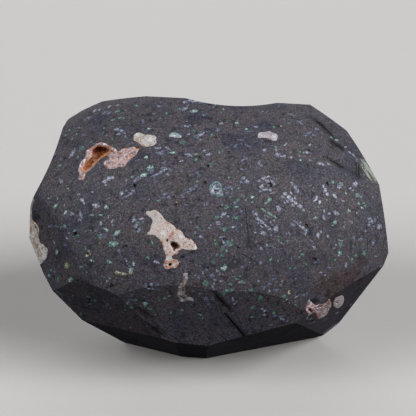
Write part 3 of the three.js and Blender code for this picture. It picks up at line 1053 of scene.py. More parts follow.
@dataclass(frozen=True)
class GroundBasalt:
    """Amygdaloidal basalt ground with coarse grit.

    Fine feldspar and augite give a dull grey-mauve mottle, the grit leaves faint scratches, and the
    small gas holes show as pale zeolite and green celadonite borders; small open ones are near-black spots of
    painted shade, with no hole cut.
    """

    name: str = "ground_amygdaloidal_basalt"
    roughness: float = 0.72
    ior: float = 1.55
    mottle_mm: float = 1.15
    speck_mm: float = 3.4
    pit_mm: float = 4.6
    patch_mm: float = 26.0
    ground: tuple[tuple[float, str], ...] = (
        (0.30, "2A2A2E"), (0.42, "403E44"), (0.5, "504D56"), (0.6, "605D69"), (0.72, "7D7A8A"),
    )
    tones: tuple[tuple[Kind, Tone], ...] = (
        (Kind.WHITE, Tone("C0C6DA", "6E7488", "7A7E96")),
        (Kind.LILAC, Tone("8E96B4", "52566A", "60647C")),
        (Kind.GREEN, Tone("93B2AE", "4A605F", "4C7E70")),
        (Kind.RIMMED, Tone("DAE0E2", "8E9AA8", "5E9A90")),
        (Kind.CREAM, Tone("E6DECC", "A0967E", "7C8A74")),
        (Kind.RING, Tone("66646E", "46444A", "629088")),
        # Painted shade: a small open pit is a near-black spot, with no hole cut.
        (Kind.PIT, Tone("0E0B0D", "070506", "242023")),
        (Kind.BROWN, Tone("5A2E1C", "24110C", "3A2620")),
        (Kind.SCRATCH, Tone("27242A", "1A181C", "35323A")),
        (Kind.GRAZE, Tone("44424A", "35333A", "413F47")),
    )

    def make(self) -> Material:
        """Builds the material."""
        material, tree, place_in = begin_material(self.name)
        fine = add(tree, "TexNoise", {"Vector": place_in, "Scale": 1 / (self.mottle_mm * MM), "Detail": 2.0,
                                      "Roughness": 0.7})
        stone = self.stone(tree, place_in, fine)
        colour, inside = self.inclusions(tree, place_in, stone)
        gloss = add(tree, "MapRange", {0: fine.outputs["Fac"], 1: 0.3, 2: 0.7, 3: self.roughness + 0.12,
                                       4: self.roughness - 0.1})
        rough = add(tree, "MapRange", {0: inside, 3: gloss.outputs[0], 4: 0.42})
        bump = add(tree, "Bump", {"Height": fine.outputs["Fac"], "Distance": 0.1 * MM, "Strength": 0.5})
        shader = add(tree, "BsdfPrincipled", {"Base Color": colour, "IOR": self.ior,
                                              "Roughness": rough.outputs[0], "Normal": bump.outputs[0]})
        add(tree, "OutputMaterial", {0: shader.outputs[0]})
        return material

    def stone(self, tree: NodeTree, place_in: NodeSocket,
              fine: Node) -> NodeSocket:
        """The colour of the stone itself: mottle, tints, bluish patches and grit marks, with tiny pits as
        painted shade.

        Args:
            tree: the material's nodes.
            place_in: the object coordinates.
            fine: the finest mottle.

        Returns:
            The colour.
        """
        ground = add(tree, "ValToRGB", {"Fac": fine.outputs["Fac"]})
        steps(ground, list(self.ground))
        hue = add(tree, "TexNoise", {"Vector": place_in, "Scale": 1 / (1.3 * MM), "Detail": 1.0})
        tinted = add(tree, "Mix", {0: 0.55, 6: ground.outputs["Color"], 7: hue.outputs["Color"]},
                     data_type="RGBA", blend_type="OVERLAY")
        broad = add(tree, "TexNoise", {"Vector": place_in, "Scale": 1 / (self.patch_mm * MM), "Detail": 3.0})
        swung = add(tree, "VectorMath", {0: broad.outputs["Color"], 1: (40 * MM,) * 3, 2: place_in},
                    operation="MULTIPLY_ADD")
        combed = add(tree, "Mapping", {"Vector": swung.outputs[0], "Rotation": (0.3, 0.5, 0.2),
                                       "Scale": (1 / (13 * MM), 1 / (1.1 * MM), 1 / (1.1 * MM))})
        grit = add(tree, "TexNoise", {"Vector": combed.outputs[0], "Scale": 1.0, "Detail": 1.0})
        grazed = add(tree, "MapRange", {0: grit.outputs["Fac"], 1: 0.3, 2: 0.7, 3: 0.78, 4: 1.2})
        shade = add(tree, "ValToRGB", {"Fac": broad.outputs["Fac"]})
        steps(shade, [(0.34, "CFD3E0"), (0.44, "E4E2E8"), (0.54, "F6EEEC"), (0.66, "F4EAE2")])
        ground_off = add(tree, "Mix", {0: 1.0, 6: tinted.outputs[2], 7: grazed.outputs[0]},
                         data_type="RGBA", blend_type="MULTIPLY")
        patched = add(tree, "Mix", {0: 1.0, 6: ground_off.outputs[2], 7: shade.outputs["Color"]},
                      data_type="RGBA", blend_type="MULTIPLY")
        specks = self.scatter(tree, place_in, self.speck_mm, 0.10, 0.26)
        speck_hue = add(tree, "ValToRGB", {"Fac": specks[1]})
        steps(speck_hue, [(0, "80859A"), (0.3, "6E9184"), (0.6, "9498A8"), (0.75, "646A7E"), (0.9, "A4A3A2")],
              "CONSTANT")
        speckled = add(tree, "Mix", {0: specks[0], 6: patched.outputs[2], 7: speck_hue.outputs[0]},
                       data_type="RGBA")
        # Painted shade: tiny open pits as near-black dots, with no hole cut.
        pits = self.scatter(tree, place_in, self.pit_mm, 0.09, 0.16)
        pitted = add(tree, "Mix", {0: pits[0], 6: speckled.outputs[2], 7: linear("100C0E")},
                     data_type="RGBA")
        painted = add(tree, "Attribute", attribute_name="paint")
        parts = add(tree, "SeparateColor", {0: painted.outputs["Color"]})
        below = pitted.outputs[2]
        cloudy = add(tree, "TexNoise", {"Vector": place_in, "Scale": 1 / (5 * MM), "Detail": 4.0,
                                        "Roughness": 0.7})
        # Bluish veils, rust and teal smears; the touch DARK adds painted shade in recesses and along the
        # slots, and plain dark washes on the other sides.
        washes = ((parts.outputs[2], "A6B2D6", 0.72), (parts.outputs[0], "D0A490", 0.8),
                  (painted.outputs["Alpha"], "3488C0", 1.0), (parts.outputs[1], "3A3436", 0.9))
        ravelled = add(tree, "Math", {0: cloudy.outputs["Fac"], 1: 3.0, 2: -1.5}, operation="MULTIPLY_ADD")
        for weight, wash, strength in washes:
            edge = add(tree, "Math", {0: weight, 1: ravelled.outputs[0]}, operation="ADD")
            kept = add(tree, "MapRange", {0: edge.outputs[0], 1: 0.1, 2: 1.0, 3: 0.0, 4: strength})
            below = add(tree, "Mix", {0: kept.outputs[0], 6: below, 7: linear(wash)}, data_type="RGBA",
                        blend_type="MULTIPLY").outputs[2]
        return below

    def scatter(self, tree: NodeTree, place_in: NodeSocket, spacing: float,
                inner: float, outer: float) -> tuple[NodeSocket, NodeSocket]:
        """Small dots, about one in three cells of the given spacing.

        Args:
            tree: the material's nodes.
            place_in: the object coordinates.
            spacing: the size of a cell in mm.
            inner: where a dot begins to fade, as a share of a cell.
            outer: where it has gone.

        Returns:
            The mask of the dots, and a number from 0 to 1 that varies from dot to dot.
        """
        stray = add(tree, "TexNoise", {"Vector": place_in, "Scale": 1 / (1.1 * MM), "Detail": 1.0})
        bent = add(tree, "VectorMath", {0: stray.outputs["Color"], 1: (1.6 * MM,) * 3, 2: place_in},
                   operation="MULTIPLY_ADD")
        cells = add(tree, "TexVoronoi", {"Vector": bent.outputs[0], "Scale": 1 / (spacing * MM)})
        parts = add(tree, "SeparateColor", {0: cells.outputs["Color"]})
        dot = add(tree, "MapRange", {0: cells.outputs["Distance"], 1: inner, 2: outer, 3: 1.0, 4: 0.0})
        kept = add(tree, "MapRange", {0: parts.outputs[0], 1: 0.66, 2: 0.95})
        mask = add(tree, "Math", {0: dot.outputs[0], 1: kept.outputs[0]}, operation="MULTIPLY")
        return mask.outputs[0], parts.outputs[1]

    def by_kind(self, tree: NodeTree, which: NodeSocket,
                shade: str) -> NodeSocket:
        """One of the three colours of the kind of inclusion.

        Args:
            tree: the material's nodes.
            which: the kind, as a share of the number of kinds.
            shade: light, dark or border.

        Returns:
            The colour.
        """
        ramp = add(tree, "ValToRGB", {"Fac": which})
        steps(ramp, [(kind.value / len(Kind), getattr(tone, shade)) for kind, tone in self.tones], "CONSTANT")
        return ramp.outputs[0]

    def inclusions(self, tree: NodeTree, place_in: NodeSocket,
                   stone: NodeSocket) -> tuple[NodeSocket, NodeSocket]:
        """Lays the inclusions over the stone: ragged, broken up, darker or greener at the border.

        Args:
            tree: the material's nodes.
            place_in: the object coordinates.
            stone: the stone's colour.

        Returns:
            The colour, and the inclusions' mask.
        """
        grain = add(tree, "Attribute", attribute_name="grain")
        parts = add(tree, "SeparateXYZ", {0: grain.outputs["Vector"]})
        flat = add(tree, "CombineXYZ", {0: parts.outputs[0], 1: parts.outputs[1]})
        bend = add(tree, "TexNoise", {"Vector": place_in, "Scale": 1 / (1.5 * MM), "Detail": 1.0})
        bent = add(tree, "VectorMath", {0: bend.outputs["Color"], 1: (2.2, 2.2, 0.0), 2: flat.outputs[0]},
                   operation="MULTIPLY_ADD")
        centred = add(tree, "VectorMath", {0: bent.outputs[0], 1: (1.1, 1.1, 0.0)}, operation="SUBTRACT")
        far = add(tree, "VectorMath", {0: centred.outputs[0]}, operation="LENGTH")
        ragged = add(tree, "TexNoise", {"Vector": place_in, "Scale": 1 / (0.8 * MM), "Detail": 1.0})
        edge = add(tree, "Math", {0: ragged.outputs["Fac"], 1: 1.8, 2: far.outputs["Value"]},
                   operation="MULTIPLY_ADD")
        inside = add(tree, "MapRange", {0: edge.outputs[0], 1: 1.75, 2: 2.2, 3: 1.0, 4: 0.0})
        rim = add(tree, "MapRange", {0: edge.outputs[0], 1: 1.4, 2: 1.7, 3: 0.0, 4: 1.0})
        which = add(tree, "Math", {0: parts.outputs[2], 1: 1 / len(Kind)}, operation="MULTIPLY")
        crystal = add(tree, "TexNoise", {"Vector": place_in, "Scale": 1 / (0.75 * MM), "Detail": 1.0})
        bright = add(tree, "MapRange", {0: crystal.outputs["Fac"], 1: 0.4, 2: 0.62})
        dark, light = (self.by_kind(tree, which.outputs[0], shade) for shade in ("dark", "light"))
        body = add(tree, "Mix", {0: bright.outputs[0], 6: dark, 7: light}, data_type="RGBA")
        mineral = add(tree, "Mix", {0: rim.outputs[0], 6: body.outputs[2],
                                    7: self.by_kind(tree, which.outputs[0], "border")}, data_type="RGBA")
        crumbs = add(tree, "MapRange", {0: crystal.outputs["Fac"], 1: 0.36, 2: 0.42, 3: 0.75, 4: 0.0})
        broken = add(tree, "Mix", {0: crumbs.outputs[0], 6: mineral.outputs[2], 7: linear("1C1A20")},
                     data_type="RGBA")
        begins = add(tree, "MapRange", {0: edge.outputs[0], 1: 2.15, 2: 2.3})
        ends = add(tree, "MapRange", {0: edge.outputs[0], 1: 2.55, 2: 3.0, 3: 1.0, 4: 0.0})
        beside = add(tree, "Math", {0: begins.outputs[0], 1: ends.outputs[0]}, operation="MULTIPLY")
        pocked = add(tree, "MapRange", {0: crystal.outputs["Fac"], 1: 0.48, 2: 0.6, 3: 0.0, 4: 0.8})
        border = add(tree, "Math", {0: beside.outputs[0], 1: pocked.outputs[0]}, operation="MULTIPLY")
        edged = add(tree, "Mix", {0: border.outputs[0], 6: stone, 7: linear("151318")}, data_type="RGBA")
        colour = add(tree, "Mix", {0: inside.outputs[0], 6: edged.outputs[2], 7: broken.outputs[2]},
                     data_type="RGBA")
        return colour.outputs[2], inside.outputs[0]


@dataclass(frozen=True)
class Zeolite:
    """A filling of fine zeolite crystals, ground flush.

    The cut crystals are pale and sugary; iron water has stained them amber to red-brown in patches and
    deeper in their hollows, and where a hole stays open its brown wall is darkened with painted shade.
    """

    name: str
    body: tuple[str, ...]
    stain: tuple[str, str] = ("8E5232", "C08A66")
    shade: str = "8FA0A0"
    frost: str = "E2E0E6"
    # an open hole's brown wall, then the painted shade deep inside it
    hole: tuple[str, str] = ("4E2A1A", "0C0605")
    fleck: str = "8C8084"
    flecked: float = 0.45
    patch_mm: float = 3.0
    fleck_mm: float = 0.9
    # painted glint: the share of white laid on random crystal cells, as if they caught the light
    painted_glint: float = 0.3
    deep_mm: float = 1.6
    roughness: float = 0.45
    ior: float = 1.5

    def make(self) -> Material:
        """Builds the material."""
        material, tree, place_in = begin_material(self.name)
        flecks = add(tree, "TexNoise", {"Vector": place_in, "Scale": 1 / (self.fleck_mm * MM),
                                        "Detail": 2.0, "Roughness": 0.65})
        sugar = add(tree, "TexVoronoi", {"Vector": place_in, "Scale": 1 / (0.8 * MM)})
        colour = self.colour(tree, place_in, flecks.outputs["Fac"], sugar)
        rough = add(tree, "MapRange", {0: flecks.outputs["Fac"], 1: 0.3, 2: 0.7, 3: self.roughness - 0.12,
                                       4: self.roughness + 0.15})
        bump = add(tree, "Bump", {"Height": sugar.outputs["Distance"], "Distance": 0.16 * MM,
                                  "Strength": 0.6})
        shader = add(tree, "BsdfPrincipled", {"Base Color": colour, "IOR": self.ior,
                                              "Roughness": rough.outputs[0], "Normal": bump.outputs[0]})
        add(tree, "OutputMaterial", {0: shader.outputs[0]})
        return material

    def colour(self, tree: NodeTree, place_in: NodeSocket, flecks: NodeSocket,
               sugar: Node) -> NodeSocket:
        """Body, flecks, stains, frost, the holes' painted shade and a painted glint, one over another.

        Args:
            tree: the material's nodes.
            place_in: the object coordinates.
            flecks: the noise that flecks the body and ravels every patch's edge.
            sugar: the cells of the crystals.

        Returns:
            The colour.
        """
        patch = add(tree, "TexNoise", {"Vector": place_in, "Scale": 1 / (self.patch_mm * MM),
                                       "Detail": 3.0})
        body = add(tree, "ValToRGB", {"Fac": patch.outputs["Fac"]})
        count = len(self.body)
        steps(body, [(0.34 + 0.32 * i / max(1, count - 1), c) for i, c in enumerate(self.body)])
        crystals = add(tree, "SeparateColor", {0: sugar.outputs["Color"]})
        lit = add(tree, "MapRange", {0: crystals.outputs[0], 3: 0.86, 4: 1.08})
        sugary = add(tree, "Mix", {0: 1.0, 6: body.outputs[0], 7: lit.outputs[0]}, data_type="RGBA",
                     blend_type="MULTIPLY")
        dirty = add(tree, "MapRange", {0: flecks, 1: 0.52, 2: 0.68, 3: 0.0, 4: self.flecked})
        flecked = add(tree, "Mix", {0: dirty.outputs[0], 6: sugary.outputs[2], 7: linear(self.fleck)},
                      data_type="RGBA")
        deep = add(tree, "Attribute", attribute_name="depth")
        stain = add(tree, "ValToRGB", {"Fac": flecks})
        steps(stain, [(0.38, self.stain[0]), (0.6, self.stain[1])])
        inner = add(tree, "MapRange", {0: deep.outputs["Fac"], 1: self.deep_mm * 0.5,
                                       2: self.deep_mm * 1.4})
        walls = add(tree, "Mix", {0: inner.outputs[0], 6: flecked.outputs[2], 7: stain.outputs[0]},
                    data_type="RGBA")
        painted = add(tree, "Attribute", attribute_name="paint")
        parts = add(tree, "SeparateColor", {0: painted.outputs["Color"]})
        # Painted shade: an open hole's wall darkens as the touch DARK grows.
        hole = add(tree, "ValToRGB", {"Fac": parts.outputs[1]})
        steps(hole, [(0.45, self.hole[0]), (0.95, self.hole[1])])
        below = walls.outputs[2]
        coarse = add(tree, "Math", {0: patch.outputs["Fac"], 1: 2.4, 2: -2.55}, operation="MULTIPLY_ADD")
        ravelled = add(tree, "Math", {0: flecks, 1: 2.7, 2: coarse.outputs[0]}, operation="MULTIPLY_ADD")
        layers = ((painted.outputs["Alpha"], linear(self.shade)), (parts.outputs[0], stain.outputs[0]),
                  (parts.outputs[2], linear(self.frost)), (parts.outputs[1], hole.outputs[0]))
        for weight, above in layers:
            edge = add(tree, "Math", {0: weight, 1: ravelled.outputs[0]}, operation="ADD")
            kept = add(tree, "MapRange", {0: edge.outputs[0], 1: 0.12, 2: 0.82})
            below = add(tree, "Mix", {0: kept.outputs[0], 6: below, 7: above}, data_type="RGBA").outputs[2]
        # Painted glint: random crystal cells are whitened as if they caught the light.
        painted_glint_mask = add(tree, "MapRange", {0: crystals.outputs[1], 1: 0.86, 2: 0.9, 4: self.painted_glint})
        return add(tree, "Mix", {0: painted_glint_mask.outputs[0], 6: below, 7: linear(self.frost)},
                   data_type="RGBA").outputs[2]


@dataclass(frozen=True)
class Softbox:
    """A wide soft light far off: where it stands, its strength and the angle it spans."""

    name: str
    bearing: float
    rise: float
    strength: float
    spread: float = 40.0

    def build(self) -> None:
        """Hangs the light."""
        out = facing(self.bearing, self.rise)
        turn = out.to_track_quat("Z", "Y").to_euler()
        bpy.ops.object.light_add(type="SUN", location=out * 2.0, rotation=turn)
        light = bpy.context.object
        light.name = self.name
        light.data.energy = self.strength
        light.data.angle = math.radians(self.spread)


@dataclass
class Studio:
    """The pale floor, the soft light and the camera."""

    lights: tuple[Softbox, ...] = (
        Softbox("right_softbox", 60, 35, 2.68), Softbox("left_softbox", -60, 35, 1.54),
        Softbox("back_softbox", 180, 12, 1.3, 60.0),
    )
    sky_strength: float = 0.026

    def build(self) -> None:
        """Sets up the floor, the light, the world and the camera."""
        scene = bpy.context.scene
        bpy.ops.object.select_all(action="DESELECT")
        bpy.ops.mesh.primitive_plane_add(size=8.0, location=(0, 0, 0))
        floor = bpy.context.object
        floor.name = "studio_floor"
        floor.data.materials.append(self.card())
        floor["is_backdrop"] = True
        for light in self.lights:
            light.build()
        world = bpy.data.worlds.new("studio")
        world.use_nodes = True
        tree = world.node_tree
        tree.nodes.clear()
        room = add(tree, "Background", {"Color": linear("E4EAFA"), "Strength": self.sky_strength})
        wall = add(tree, "Background", {"Color": linear("C9C8C7"), "Strength": 1.0})
        seen = add(tree, "LightPath").outputs["Is Camera Ray"]
        both = add(tree, "MixShader", {0: seen, 1: room.outputs[0], 2: wall.outputs[0]})
        add(tree, "OutputWorld", {0: both.outputs[0]})
        scene.world = world
        scene.view_settings.view_transform = "Standard"
        bpy.ops.object.camera_add(location=VIEW.eye * MM)
        camera = bpy.context.object
        camera.name = "camera"
        camera.rotation_euler = VIEW.turn.to_euler()
        camera.data.lens = VIEW.lens
        camera.data.sensor_width = VIEW.sensor
        scene.camera = camera

    def card(self) -> Material:
        """Matt pale card, held off the stone's underside as a studio flag would."""
        material, tree, place_in = begin_material("matt_card")
        grain = add(tree, "TexNoise", {"Vector": place_in, "Scale": 900.0})
        tone = add(tree, "ValToRGB", {"Fac": grain.outputs["Fac"]})
        steps(tone, [(0.3, "D2D0CE"), (0.7, "D8D6D4")])
        direct = add(tree, "LightPath").outputs["Is Camera Ray"]
        held = add(tree, "Mix", {0: direct, 6: linear("1E1E1E"), 7: tone.outputs["Color"]},
                   data_type="RGBA")
        shader = add(tree, "BsdfPrincipled", {"Base Color": held.outputs[2], "Roughness": 0.9})
        add(tree, "OutputMaterial", {0: shader.outputs[0]})
        return material


# Crystals that stand free roughen a druse more than a ground filling.
DRUSY = {"grain": 0.7, "grain_size": 1.3}

FILLINGS: tuple[Filling, ...] = (
    Filling("amber_and_pink_crust", Side.FRONT, "amber_pink", **DRUSY,
            sinks=((Touch.DARK, 1.8), (Touch.STAIN, 1.5), (Touch.GREEN, 1.5))),
    Filling("cream_filling_upper_left", Side.FRONT_UPPER, "cream"),
    Filling("pale_filling_top", Side.FRONT_UPPER, "pale"),
    Filling("cream_filling_upper_right", Side.FRONT_UPPER, "lilac_cream"),
    Filling("star_filling", Side.FRONT, "star"),
    Filling("left_end_crust", Side.LEFT, "crust"),
    Filling("low_right_druse", Side.CORNER_DRUSE, "pink", **DRUSY),
    Filling("low_right_oval", Side.CORNER, "oval"),
    Filling("right_end_filling", Side.RIGHT, "striped"),
    Filling("corner_edge_filling", Side.CORNER, "grey"),
    Filling("crease_vein", Side.FRONT_CREASE, "vein"),
    Filling("green_rimmed_filling", Side.FRONT, "green"),
    Filling("back_filling", Side.BACK, "cream"),
    Filling("back_druse", Side.BACK_RIGHT, "pink", **DRUSY),
    Filling("back_left_filling", Side.BACK_LEFT, "pale"),
)

ZEOLITES: dict[str, Zeolite] = {
    "amber_pink": Zeolite("amber_and_pink_zeolite_druse", ("7A5C5E", "A2888A", "BAAAB2", "D0C8D0"),
                          stain=("A8541C", "F2AA58"), shade="AA5026", frost="F2ECF0",
                          hole=("B0683E", "7C4830"), painted_glint=0.4, fleck="7E5648", flecked=0.7,
                          patch_mm=2.2, fleck_mm=1.0),
    "cream": Zeolite("cream_stilbite", ("BCB6B2", "CECACA", "DAD8DA"), stain=("9A6238", "C49A72"),
                     frost="DEDEE0", fleck="B8A694", flecked=0.2),
    "lilac_cream": Zeolite("lilac_white_stilbite", ("A9A3A8", "BDB7BE", "CAC6CE"), stain=("A88070", "C4A494"),
                           shade="A79DA6", frost="D2CED6", fleck="8E8690", flecked=0.5, fleck_mm=1.2),
    "crust": Zeolite("cream_stilbite_crust", ("A89C92", "E6DED8", "FAF6F4"), stain=("9C6A42", "CFA47C"),
                     shade="7E7C74", frost="F0EEEE", fleck="7E746C", flecked=0.6),
    "pale": Zeolite("pale_thomsonite", ("849AA4", "9EB0BA", "B6C2CA"), shade="6E9C9C", frost="D4D2DA",
                    fleck="8C94A0", flecked=0.35),
    "star": Zeolite("pink_white_stilbite", ("CCB8B0", "D9CBC6", "DEDADA"), stain=("8A4A34", "C8876A"),
                    hole=("9A6A50", "3E2418"), shade="C4C4C2", frost="ECEAEA", fleck="BCA8A0", flecked=0.28),
    "pink": Zeolite("pink_zeolite_druse", ("8A6264", "CCA8AE", "FCE8F0", "FFFCFF"),
                    stain=("AA4A2A", "E8966A"), shade="928896", frost="FEF8FC", fleck="6E4038",
                    flecked=0.8, patch_mm=2.2, fleck_mm=1.0),
    "oval": Zeolite("lilac_white_zeolite", ("F0E0E8", "FEF4FC", "FFFFFF"), stain=("BE8C7C", "E8C2B6"),
                    shade="8A9A90", frost="FFFCFF", fleck="BEA8B2", flecked=0.5),
    "striped": Zeolite("banded_pale_calcite", ("3E4844", "525A56", "666C68"), shade="2C3A34", frost="ACB0A8",
                       hole=("3E4A42", "222A26"), fleck="6C706C", flecked=0.4),
    "grey": Zeolite("grey_lilac_calcite", ("7A7488", "948EA2", "A6A0B4"), shade="6A6678", frost="B4B0C2",
                    fleck="686478", flecked=0.4),
    "vein": Zeolite("brown_and_lilac_vein", ("5C5152", "8A8084", "AAA2AC"), stain=("7A5442", "B08E7C"),
                    shade="8E9AB0", frost="CEC6CE", hole=("3A2416", "120B08"), fleck="4A4244", flecked=0.7,
                    patch_mm=2.0, fleck_mm=1.1),
    "green": Zeolite("celadonite_rimmed_zeolite", ("2C3848", "5C6A80", "98A2B8"), shade="4E8C86",
                     frost="D8D6E2", hole=("50586A", "3A4252"), fleck="44525E", flecked=0.85, patch_mm=1.8,
                     fleck_mm=1.1),
}


def fan(first: tuple[float, ...], last: tuple[float, ...], count: int) -> tuple[tuple[float, ...], ...]:
    """Rows of grit marks, evenly spread from the first row to the last."""
    shares = [step / (count - 1) for step in range(count)]
    return tuple(tuple(a + (b - a) * share for a, b in zip(first, last)) for share in shares)
